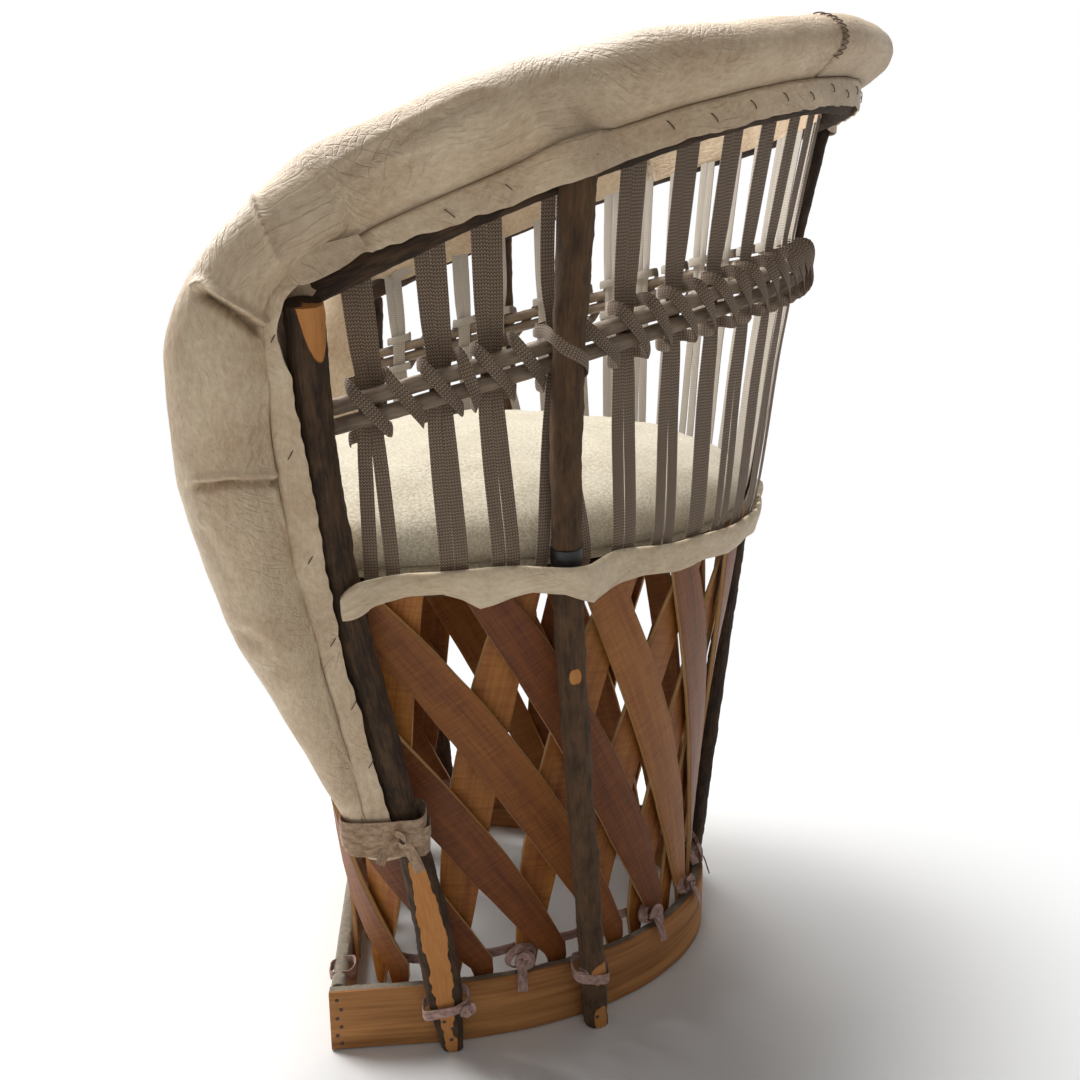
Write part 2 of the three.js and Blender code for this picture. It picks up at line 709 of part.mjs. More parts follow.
function postAtHeight(curve, z) {
  const steps = 200;
  let nearest = curve.getPoint(0);
  for (let i = 1; i <= steps; i += 1) {
    const p = curve.getPoint(i / steps);
    if (Math.abs(p.z - z) < Math.abs(nearest.z - z)) nearest = p;
  }
  return nearest;
}

const bandEndShare = 0.305;
const hemRipples = [{ waves: 7, share: 0.6 }, { waves: 17, share: 0.4 }];

// The band runs round the back, outside the posts, from one front post to the other
function rimBand() {
  const around = 108;
  const midZ = (seat.bandTopZ + seat.bandBottomZ) / 2;
  const posts = allPosts.map((post) => ({ at: postAtHeight(post.curve, midZ), radius: post.radius }));
  const clear = fitGap + seat.bandThickness / 2 + seat.bandClear;
  const rings = [];
  for (let i = 0; i <= around; i += 1) {
    const share = bandEndShare * ((2 * i) / around - 1);
    const p = onOutline(topPath, share);
    const offset = offsetRoundPosts(p, posts, seat.bandOffset, clear, seat.bandSpread);
    const ripple = hemRipples.reduce((sum, r) => (
      sum + r.share * (0.5 - 0.5 * Math.cos(2 * Math.PI * r.waves * share))
    ), 0);
    const bottom = seat.bandBottomZ - seat.bandDroop * ripple;
    const drop = midZ - (seat.bandTopZ + bottom) / 2;
    const across = v3(0, 0, 1).addScaledVector(p.out, leanShare);
    const centre = v3(p.x, p.y, midZ).addScaledVector(p.out, offset).addScaledVector(across, -drop);
    const height = (seat.bandTopZ - bottom) * across.length();
    rings.push(flatRing(centre, across, p.out, height, seat.bandThickness));
  }
  return loft(rings);
}

// Arm roll
const rollTailSharpness = 24;
const rollSectionDegrees = [0, 14, 28, 50, 80, 110, 140, 170, 190, 220, 250, 280, 310, 332, 346];

function rollStations() {
  const arm = [];
  const armSteps = 30;
  const nearbyAngle = 0.01;
  for (let i = 0; i <= armSteps; i += 1) {
    const angle = roll.armEndAngle * (1 - (2 * i) / armSteps);
    const flat = THREE.MathUtils.smoothstep(climbShare(hoop, angle), ...rollFlattenShares);
    const depth = THREE.MathUtils.lerp(roll.depth, roll.backDepth, flat);
    const p = onBow(hoop, angle, THREE.MathUtils.lerp(roll.outward, roll.backOutward, flat));
    const z = rimHeight(hoop, angle);
    const hoopCentre = onBow(hoop, angle);
    const climb = (rimHeight(hoop, angle + nearbyAngle) - rimHeight(hoop, angle - nearbyAngle)) / 2;
    const along = p.along.clone().multiplyScalar(hoop.bowLength * nearbyAngle).setZ(climb).normalize();
    const up = v3(0, 0, 1).addScaledVector(along, -along.z).normalize();
    arm.push({
      at: v3(p.x, p.y, z).addScaledVector(up, hoop.radius + roll.clear + depth),
      radius: roll.radius, depth, down: up.clone().negate(),
      support: v3(hoopCentre.x, hoopCentre.y, z), reach: hoop.radius,
    });
  }
  const front = (side) => rollFrontShares.map((row) => {
    const z = roll.kneeZ * row.height;
    const held = Math.min(z, frontPost.topZ);
    const post = postAtHeight(frontPostCurve(side), held);
    const outward = row.size > rollStraightShare ? roll.frontOutward : 0;
    const kneeClear = z > frontPost.topZ ? roll.kneeClear : 0;
    return {
      at: v3(post.x + side * outward, frontPostTopY - roll.radius * row.forward, z),
      radius: roll.frontRadius * row.size * (row.width ?? 1), depth: roll.frontRadius * row.size,
      support: v3(post.x, post.y, held), reach: frontPost.radius + kneeClear,
    };
  });
  return [...front(1).reverse(), ...arm, ...front(-1)];
}

function armRoll() {
  const stations = rollStations();
  const rings = stations.map((s, i) => {
    const before = stations[Math.max(i - 1, 0)].at;
    const after = stations[Math.min(i + 1, stations.length - 1)].at;
    const direction = after.clone().sub(before).normalize();
    const toward = s.support.clone().sub(s.at);
    const room = toward.length() - s.reach - 2 * wrapGap;
    toward.addScaledVector(direction, -toward.dot(direction)).normalize();
    const down = s.down ?? toward;
    const sideways = direction.clone().cross(down);
    const stretch = Math.max(0, room / s.depth - 1);
    return rollSectionDegrees.map((degrees) => {
      const angle = THREE.MathUtils.degToRad(degrees);
      const tail = Math.max(0, Math.cos(angle)) ** rollTailSharpness;
      return s.at.clone().addScaledVector(down, s.depth * Math.cos(angle))
        .addScaledVector(toward, s.depth * stretch * tail)
        .addScaledVector(sideways, s.radius * Math.sin(angle));
    });
  });
  return loft(rings);
}

// Leather flange stapled over the hoop and the front posts, outside
function flangeStrip() {
  const stations = [];
  const armSteps = 56;
  const posts = allPosts.slice(frontCurves.length).map((post) => (
    { at: post.curve.getPoint(1), radius: post.radius }
  ));
  const clear = 5 * wrapGap + flange.thickness / 2;
  for (let i = 0; i <= armSteps; i += 1) {
    const angle = flange.endAngle * (1 - (2 * i) / armSteps);
    const p = onBow(hoop, angle);
    const offset = offsetRoundPosts(p, posts, flange.offset, clear, flange.spread);
    stations.push({
      at: v3(p.x, p.y, rimHeight(hoop, angle) + flange.rise).addScaledVector(p.out, offset),
      out: p.out, width: flange.width,
    });
  }
  const postOffset = frontPost.radius + wrapGap + flange.thickness;
  const corner = (side) => flangeCornerShares.map((row) => ({
    at: v3(
      side * (frontPostTopX + postOffset * row.outward), frontPostTopY - roll.radius * row.forward,
      frontPost.topZ + flange.width * row.rise,
    ),
    out: v3(side, 0, 0), width: flange.frontWidth * row.width,
  }));
  const down = (side) => flangeFrontShares.map((share) => {
    const z = THREE.MathUtils.lerp(flange.endZ, frontPost.topZ, share);
    const post = postAtHeight(frontPostCurve(side), z);
    return {
      at: v3(post.x + side * postOffset, post.y - flange.frontShift, z), out: v3(side, 0, 0),
      width: flange.frontWidth,
    };
  });
  const front = (side) => [...corner(side), ...down(side)];
  const all = [...front(1).reverse(), ...stations, ...front(-1)];
  return loft(all.map((s, i) => {
    const direction = all[Math.min(i + 1, all.length - 1)].at.clone().sub(all[Math.max(i - 1, 0)].at);
    return flatRing(s.at, direction.cross(s.out), s.out, s.width, flange.thickness);
  }));
}

// Suede tie round the foot of the roll and the front post

function suedeTie(side) {
  const around = 24;
  const squareness = 4;
  const curve = frontPostCurve(side);
  const half = roll.tieHeight / 2;
  const low = postAtHeight(curve, roll.tieZ - half);
  const high = postAtHeight(curve, roll.tieZ + half);
  const lean = high.clone().sub(low).divideScalar(high.z - low.z);
  const centre = low.clone().lerp(high, 0.5).add(v3(side * roll.tieShift, -roll.tieHalfLength / 2, 0));
  const rings = [];
  for (let i = 0; i < around; i += 1) {
    const angle = (2 * Math.PI * i) / around;
    const c = Math.abs(Math.cos(angle)) ** (2 / squareness) * Math.sign(Math.cos(angle));
    const s = Math.abs(Math.sin(angle)) ** (2 / squareness) * Math.sign(Math.sin(angle));
    const out = v3(c / roll.tieHalfWidth, s / roll.tieHalfLength, 0).normalize();
    const at = centre.clone().add(v3(roll.tieHalfWidth * c, roll.tieHalfLength * s, 0));
    rings.push(flatRing(at, lean, out, roll.tieHeight, roll.tieThickness));
  }
  return loft(rings, true);
}

// Hide lace round the inside of the splints, just above the base
function baseLace() {
  const around = 48;
  const inset = footInset + splint.layerPitch + splint.thickness / 2 + wrapGap + lace.thickness / 2;
  const path = outline(footOutline, inset);
  const rings = [];
  for (let i = 0; i < around; i += 1) {
    const p = onOutline(path, i / around);
    rings.push(flatRing(v3(p.x, p.y, lace.z), v3(0, 0, 1), p.out, lace.width, lace.thickness));
  }
  return loft(rings, true);
}

place('base_hoop', baseHoop(), 'board');
place('front_cross_board', crossBoard(), 'board');
for (let k = 0; k < splint.perLayer; k += 1) {
  const step = k / splint.perLayer;
  const outer = splintBoard(0, outerStartShare + step, -splintLeanShare);
  const inner = splintBoard(1, innerStartShare + step, splintLeanShare);
  place(`splint_outer_${k + 1}`, outer, 'splintOuter');
  place(`splint_inner_${k + 1}`, inner, 'splintInner');
}
[['left', 1], ['right', -1]].forEach(([word, side]) => {
  place(`front_post_${word}`, frontPostStick(side), 'bark');
  place(`side_post_${word}`, roundPost(side, sidePost, sideFoot.x, sideFoot.y), 'bark');
  place(`suede_tie_${word}`, suedeTie(side), 'suede');
});
place('rear_post', roundPost(1, rearPost, rearFoot.x, rearFoot.y), 'bark');
place('seat_ring', seatRing(), 'bark');
place('seat_pad', seatPad(), 'hide');
place('seat_rim_band', rimBand(), 'leather');
place('top_hoop', bentStick(bowCurve(hoop), hoop.radius, 40, 8), 'bark');
place('rail_lower', bentStick(bowCurve(rail), rail.radius, 40, 6), 'bark');
place('rail_upper', bentStick(bowCurve(rail, rail.pitch), rail.radius, 40, 6), 'bark');
place('webbing_left', webbingPanel(rearPanelStraps + 1, strapsPerSide), 'tape');
place('webbing_rear', webbingPanel(-rearPanelStraps, rearPanelStraps), 'tape');
place('webbing_right', webbingPanel(-strapsPerSide, -rearPanelStraps - 1), 'tape');
place('lashing_left', lashingTape('lashing_left', strapsPerSide, 0), 'tape');
place('lashing_right', lashingTape('lashing_right', -1, -strapsPerSide), 'tape');
place('arm_roll', armRoll(), 'leather');
place('arm_flange', flangeStrip(), 'leather');
place('base_lace', baseLace(), 'laceHide');

// The origin is on the floor, under the middle of the whole chair
chair.updateMatrixWorld(true);
const box = new THREE.Box3().setFromObject(chair);
const middle = box.getCenter(v3());
chair.position.set(-middle.x, -middle.y, -box.min.z);

export default chair;
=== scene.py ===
import math
import random

import bpy
import numpy as np
from mathutils import Matrix, Vector, noise

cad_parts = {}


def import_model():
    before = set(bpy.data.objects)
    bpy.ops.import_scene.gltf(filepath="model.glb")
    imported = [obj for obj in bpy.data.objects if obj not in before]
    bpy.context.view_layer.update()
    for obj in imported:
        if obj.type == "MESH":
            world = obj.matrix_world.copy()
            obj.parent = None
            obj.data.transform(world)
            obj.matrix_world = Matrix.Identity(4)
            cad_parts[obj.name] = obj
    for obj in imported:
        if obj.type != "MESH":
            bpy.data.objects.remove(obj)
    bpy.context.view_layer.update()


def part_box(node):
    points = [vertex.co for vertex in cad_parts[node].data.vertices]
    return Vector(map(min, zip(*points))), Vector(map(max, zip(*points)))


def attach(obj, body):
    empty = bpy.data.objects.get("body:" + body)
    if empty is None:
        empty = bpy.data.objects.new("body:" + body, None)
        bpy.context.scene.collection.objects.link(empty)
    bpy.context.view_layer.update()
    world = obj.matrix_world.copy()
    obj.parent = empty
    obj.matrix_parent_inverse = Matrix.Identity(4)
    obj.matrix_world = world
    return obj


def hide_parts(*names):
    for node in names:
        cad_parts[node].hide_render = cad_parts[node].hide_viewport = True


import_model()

# The drawing's front face of the cross board, and how far the frame's origin lies from the drawing's
drawn_front_y = -113.0
shift_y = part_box("front_cross_board")[0].y * 1000 - drawn_front_y

# Camera: the eye of the photograph, left of the sitter and a little above the arm
eye = np.array([942.67, -12.5, 605.58])
eye_yaw = math.radians(5.62)
eye_down = math.radians(13.24)
eye_roll = math.radians(-0.32)
eye_lens = 34.82


def unit(v):
    v = np.asarray(v, float)
    return v / np.linalg.norm(v, axis=-1, keepdims=True)


def make_camera():
    level = math.cos(eye_down)
    look = np.array([-math.cos(eye_yaw) * level, math.sin(eye_yaw) * level, -math.sin(eye_down)])
    right = np.array([math.sin(eye_yaw), math.cos(eye_yaw), 0.0])
    up = np.cross(right, look)
    tilted_right = math.cos(eye_roll) * right + math.sin(eye_roll) * up
    tilted_up = np.cross(tilted_right, look)
    data = bpy.data.cameras.new("camera")
    data.lens = eye_lens
    data.sensor_width = 36
    data.clip_end = 60
    camera = bpy.data.objects.new("camera", data)
    turn = Matrix([tilted_right, tilted_up, -look]).transposed().to_4x4()
    camera.matrix_world = Matrix.Translation(Vector((eye + [0, shift_y, 0]) / 1000)) @ turn
    bpy.context.scene.collection.objects.link(camera)
    bpy.context.scene.camera = camera


make_camera()

# Sizes of the pieces, as in the CAD. A plan is half its width, how deep its back bows, where the bow's
# middle and the straight front lie, and the radius of the front corners.
gap = 0.3
base = dict(half=188.0, bow=269.5, centre=-28.5, front=-113.0, corner=24.0, thick=12.0)
foot_outline = dict(base, front=-111.0, corner=80.0)
seat = dict(half=267.5, bow=325.0, centre=-61.0, front=-146.0, corner=85.0)
seat_z = 422.4
side_slope = 0.24

# The wall of splints: two layers that lean opposite ways by a share of the way round
splints_each_layer = 18
splint_start = (0.506, 0.074)
splint_lean = (-0.106, 0.106)
splint_foot_z = 59.0
splint_top_z = 412.2
splint_half_thick = 2.5
layer_pitch = 8.2
waist_depth = 8.0
foot_lead = 0.045

# The rails and the hoop end at an angle from the middle of the back, and climb from front to back
rail = dict(half=301.0, bow=378.0, centre=-76.0, end=1.575, front_z=527.0, back_z=625.0, bulge=0.0)
rail_radius = 5.2
rail_pitch = 12.0
hoop = dict(half=324.0, bow=353.0, centre=-28.0, end=1.75, front_z=606.0, back_z=753.0, bulge=59.0)
hoop_radius = 11.0
side_post_radius = 10.5
rear_post_radius = 10.0
front_post_radius = 11.5
post_top_x = 343.4
post_top_y = -83.4
post_top_z = 602.0
post_head = 8.0

# Straps are counted from the middle of the back, and the posts stand at some of them
straps_each_side = 13
side_post_strap = 10
side_post_turn = 0.028
rear_post_strap = -1
front_foot_y = -13.5


# Curves
def through(rows, count):
    """Rows at even distances on a smooth curve through the given ones. Three columns give the place."""
    rows = np.asarray(rows, float)
    fine = np.linspace(0, 1, 12, endpoint=False)[:, None]
    ends = np.vstack([2 * rows[0] - rows[1], rows, 2 * rows[-1] - rows[-2]])
    stretches = []
    for before, here, there, after in zip(ends, ends[1:], ends[2:], ends[3:]):
        k0, k1, k2 = (
            max(np.linalg.norm((q - p)[:3]) ** 0.5, 1e-3)
            for p, q in ((before, here), (here, there), (there, after))
        )
        leave = ((here - before) / k0 - (there - before) / (k0 + k1) + (there - here) / k1) * k1
        arrive = ((there - here) / k1 - (after - here) / (k1 + k2) + (after - there) / k2) * k1
        stretches.append(
            here + leave * fine + (3 * (there - here) - 2 * leave - arrive) * fine ** 2
            + (2 * (here - there) + leave + arrive) * fine ** 3
        )
    dense = np.vstack([*stretches, rows[-1:]])
    reach = reaches(dense[:, :3])
    wanted = np.linspace(0, reach[-1], count)
    return np.stack([np.interp(wanted, reach, column) for column in dense.T], axis=1)


def directions(path):
    """Direction of a path at each of its points."""
    step = np.empty_like(path)
    step[1:-1] = path[2:] - path[:-2]
    step[0] = path[1] - path[0]
    step[-1] = path[-1] - path[-2]
    return unit(step)


def reaches(path):
    """Length of a path up to each of its points."""
    return np.concatenate([[0], np.cumsum(np.linalg.norm(np.diff(path, axis=0), axis=1))])


def on_bow(bow, angle, offset=0.0):
    """Place and outward direction on a bowed curve, at an angle from the middle of the back."""
    out = unit([math.sin(angle) / bow["half"], math.cos(angle) / bow["bow"], 0.0])
    place = np.array([bow["half"] * math.sin(angle), bow["centre"] + bow["bow"] * math.cos(angle), 0.0])
    return place + out * offset, out


def climb_share(bow, angle):
    """0 at the front end of a rail or the hoop, 1 at the middle of the back."""
    front = bow["bow"] * math.cos(bow["end"])
    return (bow["bow"] * math.cos(angle) - front) / (bow["bow"] - front)


def rim_height(bow, angle):
    share = climb_share(bow, angle)
    return bow["front_z"] + (bow["back_z"] - bow["front_z"]) * share + bow["bulge"] * share * (1 - share)


def on_rim(bow, angle, offset=0.0, rise=0.0):
    """Place and outward direction at the height of a rail or the hoop."""
    place, out = on_bow(bow, angle, offset)
    return place + [0, 0, rim_height(bow, angle) + rise], out


def bow_line(bow, rise=0.0):
    angles = np.linspace(-bow["end"], bow["end"], 49)
    return through([on_rim(bow, angle, rise=rise)[0] for angle in angles], 260)


class Outline:
    """Closed D in plan, counted from the middle of the back towards the sitter's left."""

    def __init__(self, d, inset):
        half = d["half"] - inset
        bow = d["bow"] - inset
        front = d["front"] + inset
        corner = d["corner"] - min(inset, d["corner"] / 2)
        quarter = np.linspace(0, math.pi / 2, 80)
        points = [(half * math.sin(a), d["centre"] + bow * math.cos(a)) for a in quarter]
        points += [
            (half - corner + corner * math.cos(a), front + corner - corner * math.sin(a)) for a in quarter
        ]
        points += [(-x, y) for x, y in reversed(points[1:])] + points[:1]
        self.flat = np.array(points)
        self.reach = reaches(self.flat)

    def at(self, share):
        """Place, outward and onward directions at a share of the length."""
        def find(s):
            wanted = (s % 1) * self.reach[-1]
            return np.array([*(np.interp(wanted, self.reach, self.flat[:, i]) for i in (0, 1)), 0.0])
        onward = unit(find(share + 0.001) - find(share - 0.001))
        return find(share), np.array([-onward[1], onward[0], 0.0]), onward


foot_inset = base["thick"] + 3 * gap + splint_half_thick
foot_path = Outline(foot_outline, foot_inset)
seat_path = Outline(seat, 0.0)


def wall_point(share, height):
    """Middle of the outer splints, at a share round the seat and a share of the height."""
    foot, foot_out, _ = foot_path.at(share - foot_lead * math.sin(2 * math.pi * share))
    top, top_out, _ = seat_path.at(share)
    waist = 4 * waist_depth * height * (1 - height)
    out = unit(foot_out * (1 - height) + top_out * height)
    low = foot + [0, 0, splint_foot_z]
    high = top + [0, 0, splint_top_z]
    return low * (1 - height) + high * height - out * waist


def on_wall(layer, share, height):
    """Place and outward direction in the middle of a layer's splints."""
    near = 0.004
    around = wall_point(share + near, height) - wall_point(share - near, height)
    up = wall_point(share, height + near) - wall_point(share, height - near)
    out = unit(np.cross(up, around))
    return wall_point(share, height) - out * layer * layer_pitch, out


def strap_angles(number):
    """Angles of a strap on the hoop, on the rails and on the seat's rim."""
    share = number / straps_each_side
    seat_share = math.copysign(0.92 * abs(share) + 0.08 * share ** 4, share)
    turn = math.copysign(side_post_turn, number) if 0 <= abs(number) - side_post_strap <= 1 else 0.0
    return 1.66 * share + turn, 1.51 * share + turn, 1.54 * seat_share + turn


def post_line(side, strap_number, radius, seat_offset, foot):
    """Middle line of a side or rear post, outside the seat's rim, the rails and the hoop."""
    hoop_angle, rail_angle, seat_angle = strap_angles(strap_number)
    hoop_offset = (hoop_radius + gap) * math.hypot(1, side_slope) + radius + gap + side_slope * post_head
    rows = [
        np.array([*foot, 0.0]),
        on_bow(seat, seat_angle, seat_offset + radius)[0] + [0, 0, seat_z],
        on_rim(rail, rail_angle, rail_radius + gap + radius)[0],
        on_rim(hoop, hoop_angle, hoop_offset, post_head)[0],
    ]
    return through([row * [side, 1, 1] for row in rows], 200)


def front_post_line(side):
    foot_x = base["half"] + gap + 6
    seat_x, seat_y = 283.2, -76.0
    rows = [(foot_x, front_foot_y, 0.0)]
    for height, outward, forward in ((0.331, 0.27, 0.24), (0.687, 0.64, 0.656)):
        rows.append((foot_x + (seat_x - foot_x) * outward, front_foot_y + (seat_y - front_foot_y) * forward,
                     seat_z * height))
    rows += [(seat_x, seat_y, seat_z), (320.0, -84.0, 533.0), (post_top_x, post_top_y, post_top_z)]
    return through([np.array(row) * [side, 1, 1] for row in rows], 260)


def at_height(line, z):
    order = np.argsort(line[:, 2])
    return np.array([np.interp(z, line[order, 2], line[order, i]) for i in range(3)])


rear_foot = on_bow(base, math.asin(-0.24), 0.8 + rear_post_radius)[0][:2]
side_foot = (174.5, 109.0)
front_lines = {side: front_post_line(side) for side in (1, -1)}
side_lines = {side: post_line(side, side_post_strap, side_post_radius, 3.8, side_foot) for side in (1, -1)}
rear_line = post_line(1, rear_post_strap, rear_post_radius, 10.1, rear_foot)
post_angles = [strap_angles(number)[0] for number in (side_post_strap, -side_post_strap, rear_post_strap)]


# Shapes: points, faces, and for each point its place on the stuff (mm along, across and deep), its mark of
# wear and painted light, and the piece's tone
def skin(rings, lay, wear_and_painted_light=0.0, tone=0.5):
    """A closed skin through rings of equal point counts, with a cap at either end."""
    rings = np.asarray(rings, float)
    count, around = rings.shape[:2]
    faces = []
    for here in range(0, (count - 1) * around, around):
        there = here + around
        for k in range(around):
            n = (k + 1) % around
            faces.append((here + k, here + n, there + n, there + k))
    faces.append(tuple(range(around - 1, -1, -1)))
    faces.append(tuple(range((count - 1) * around, count * around)))
    points = rings.reshape(-1, 3)
    volume = sum(
        float(np.dot(points[f[0]], np.cross(points[f[j]], points[f[j + 1]])))
        for f in faces for j in range(1, len(f) - 1)
    )
    if volume < 0:
        faces = [f[::-1] for f in faces]
    return dict(points=points, faces=faces, lay=np.asarray(lay, float).reshape(-1, 3),
                wear_and_painted_light=np.broadcast_to(np.asarray(wear_and_painted_light, float).reshape(-1), (len(points),)).copy(),
                tone=np.full(len(points), float(tone)))


def wobble(points, size, amount, seed):
    """A smooth random offset for each point, in mm, for lumps of that size."""
    shift = Vector((seed * 7.3, seed * 3.1, seed * 1.7))
    return np.array([noise.noise(Vector(p) / size + shift) for p in points]) * amount


# Lumps of a stick: how often they come round it, how long they are along it and how high, in mm
stick_lumps = ((1.3, 5, 28, 1.4), (3, 1, 7, 1.0))
stick_floor_z = 0.2


def stick(line, radii, reference, seed, sides=18, lumps=0.5, knots=(), shave=None, tone=0.5, bare=()):
    """A round stick along a line, its feet cut level with the floor.

    Radii are one number or a pair for each row: across and along the reference. A knot is its reach, angle,
    size and height. A bare place is its reach, angle, length, width and whether it ends in a point.
    """
    steps = directions(line)
    reach = reaches(line)
    radii = np.broadcast_to(np.asarray(radii, float).reshape(-1, 1) if np.ndim(radii) < 2 else radii,
                            (len(line), 2))
    rings, lays, wear_and_painted_light = [], [], []
    around = np.linspace(0, 2 * math.pi, sides, endpoint=False)
    for i, (place, step) in enumerate(zip(line, steps)):
        n = unit(np.asarray(reference, float) - np.dot(reference, step) * step)
        b = np.cross(step, n)
        ring_worn = np.zeros(sides)
        places = np.empty((sides, 3))
        for k, a in enumerate(around):
            grow = 0.0
            for often, shift, long, high in stick_lumps:
                spot = Vector((math.cos(a) * often + seed * shift, math.sin(a) * often, reach[i] / long))
                grow += noise.noise(spot) * high * lumps
            for knot_reach, knot_angle, size, height in knots:
                turn = math.cos(a - knot_angle)
                if turn > 0:
                    grow += height * math.exp(-((reach[i] - knot_reach) / size) ** 2) * turn ** 4
            along_n = (radii[i, 1] + grow) * math.cos(a)
            along_b = (radii[i, 0] + grow) * math.sin(a)
            if shave is not None and along_n > shave[i]:
                ring_worn[k] = min(1.0, 0.35 + (along_n - shave[i]) / 1.6)
                along_n = shave[i]
            places[k] = place + n * along_n + b * along_b
            for bare_reach, bare_angle, length, width, pointed in bare:
                turn = 1 - math.cos(a - bare_angle)
                off = (bare_reach - reach[i]) / length
                room = (1 - off) * (off > 0) if pointed else math.sqrt(max(0.0, 1 - off * off))
                if room > 0:
                    ring_worn[k] = max(ring_worn[k], min(1.0, 0.5 + 4 * (width * room - turn)))
        places[:, 2] = np.maximum(places[:, 2], stick_floor_z)
        rings.append(places)
        lays.append([(reach[i], radii[i, 0] * math.cos(a), radii[i, 0] * math.sin(a)) for a in around])
        wear_and_painted_light.append(ring_worn)
    return skin(rings, lays, np.concatenate(wear_and_painted_light), tone)


def ribbon(rows, width, thickness, seed=0, across=5, cup=0.0, frayed=0.0):
    """A flat band along rows of place and face direction. Width and cup are one number or one a row."""
    rows = np.asarray(rows, float)
    line = rows[:, :3]
    width = np.broadcast_to(np.asarray(width, float), (len(rows),))
    cup = np.broadcast_to(np.asarray(cup, float), (len(rows),))
    steps = directions(line)
    reach = reaches(line)
    spread = np.linspace(-1, 1, across)
    front = [(x, 1.0 if abs(x) < 0.99 else 0.45) for x in spread]
    back = [(x, -y) for x, y in front[::-1]]
    rings, lays = [], []
    for i, step in enumerate(steps):
        face = unit(rows[i, 3:6] - np.dot(rows[i, 3:6], step) * step)
        side = np.cross(step, face)
        ring, lay = [], []
        for x, y in front + back:
            edge = 1 + frayed * noise.noise(Vector((reach[i] / 5, seed * 3.7, math.copysign(2, x))))
            half = width[i] / 2 * edge
            lift = y * thickness / 2 + cup[i] * (x * x - 0.4)
            ring.append(line[i] + side * x * half + face * lift)
            lay.append((reach[i], x * width[i] / 2 + seed * 31.0, y * thickness / 2))
        rings.append(ring)
        lays.append(lay)
    return skin(rings, lays, ([0.0] * across + [1.0] * across) * len(rows))


def button(place, facing, radius, height):
    """A small domed head."""
    facing = unit(facing)
    side = unit(np.cross(facing, [0.3, 0.5, 0.81]))
    up = np.cross(facing, side)
    turns = np.linspace(0, 2 * math.pi, 10, endpoint=False)
    spokes = [side * math.cos(a) + up * math.sin(a) for a in turns]
    rings = [
        [place + facing * height * lift + spoke * radius * size for spoke in spokes]
        for size, lift in ((1.0, -0.8), (1.0, 0.2), (0.8, 0.75), (0.35, 1.0))
    ]
    return skin(rings, rings)


def bar(a, b, facing, thick=0.7):
    """A thin wire between two points, raised a little on the side it faces."""
    a, b, facing = np.asarray(a, float), np.asarray(b, float), unit(facing)
    driven, raised = facing * 1.5, facing * 0.35
    line = through([a - driven, a + raised, b + raised, b - driven], 9)
    return stick(line, thick / 2, facing, 1, sides=6, lumps=0.0)


def normals(s):
    """Outward direction at each point of a shape."""
    points = s["points"]
    total = np.zeros_like(points)
    for f in s["faces"]:
        if len(f) > 4:
            continue
        n = np.cross(points[f[2]] - points[f[0]], points[f[-1]] - points[f[1]])
        for j in f:
            total[j] += n
    return total / np.maximum(np.linalg.norm(total, axis=1, keepdims=True), 1e-9)


def piece(name, shapes, material, replaces=(), sharp=38.0):
    """One object of the given shapes, riding on the chair."""
    points, faces, start = [], [], 0
    for s in shapes:
        points.append(s["points"])
        faces += [tuple(int(j) + start for j in f) for f in s["faces"]]
        start += len(s["points"])
    placed = (np.vstack(points) + [0, shift_y, 0]) / 1000
    mesh = bpy.data.meshes.new(name)
    mesh.from_pydata(placed.tolist(), [], faces)
    for key, kind in (("lay", "FLOAT_VECTOR"), ("wear_and_painted_light", "FLOAT"), ("tone", "FLOAT")):
        attribute = mesh.attributes.new(key, kind, "POINT")
        values = np.concatenate([s[key].ravel() for s in shapes]).astype(np.float32)
        attribute.data.foreach_set("vector" if key == "lay" else "value", values)
    mesh.materials.append(material)
    mesh.shade_smooth()
    mesh.set_sharp_from_angle(angle=math.radians(sharp))
    made = bpy.data.objects.new(name, mesh)
    bpy.context.scene.collection.objects.link(made)
    if replaces:
        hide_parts(*replaces)
    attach(made, "root")
    return made


# Materials
def linear(hex_colour):
    values = [int(hex_colour[i:i + 2], 16) / 255 for i in (1, 3, 5)]
    return (*[v / 12.92 if v <= 0.04045 else ((v + 0.055) / 1.055) ** 2.4 for v in values], 1.0)


def add_node(tree, kind, inputs=None, output=None, **settings):
    """Adds a node with its settings and inputs, and gives the output asked for, or else its first in use.

    An input that is another node's output is linked, and a hex colour is turned to linear.
    """
    node = tree.nodes.new("ShaderNode" + kind)
    for key, value in settings.items():
        setattr(node, key, value)
    for key, value in (inputs or {}).items():
        if isinstance(value, bpy.types.NodeSocket):
            tree.links.new(value, node.inputs[key])
        else:
            node.inputs[key].default_value = linear(value) if isinstance(value, str) else value
    return node.outputs[output] if output else next((o for o in node.outputs if o.enabled), None)


def start_material(name, *marks):
    """An empty material, with the place on the stuff and the marks it needs: wear_and_painted_light, tone or
    both.
    """
    material = bpy.data.materials.new(name)
    material.use_nodes = True
    tree = material.node_tree
    tree.nodes.clear()
    lay = add_node(tree, "Attribute", output="Vector", attribute_name="lay")
    values = [add_node(tree, "Attribute", output="Fac", attribute_name=mark) for mark in marks]
    return material, tree, lay, *values


def end_material(tree, colour, height, depth_mm, **sockets):
    """Bump, surface and output. Depth is the height of the relief."""
    bump = add_node(tree, "Bump", {"Height": height, "Distance": depth_mm / 1000, "Strength": 1.0})
    finish = {key.replace("_", " "): value for key, value in sockets.items()}
    surface = add_node(tree, "BsdfPrincipled", {"Base Color": colour, "Normal": bump, **finish})
    add_node(tree, "OutputMaterial", {"Surface": surface})


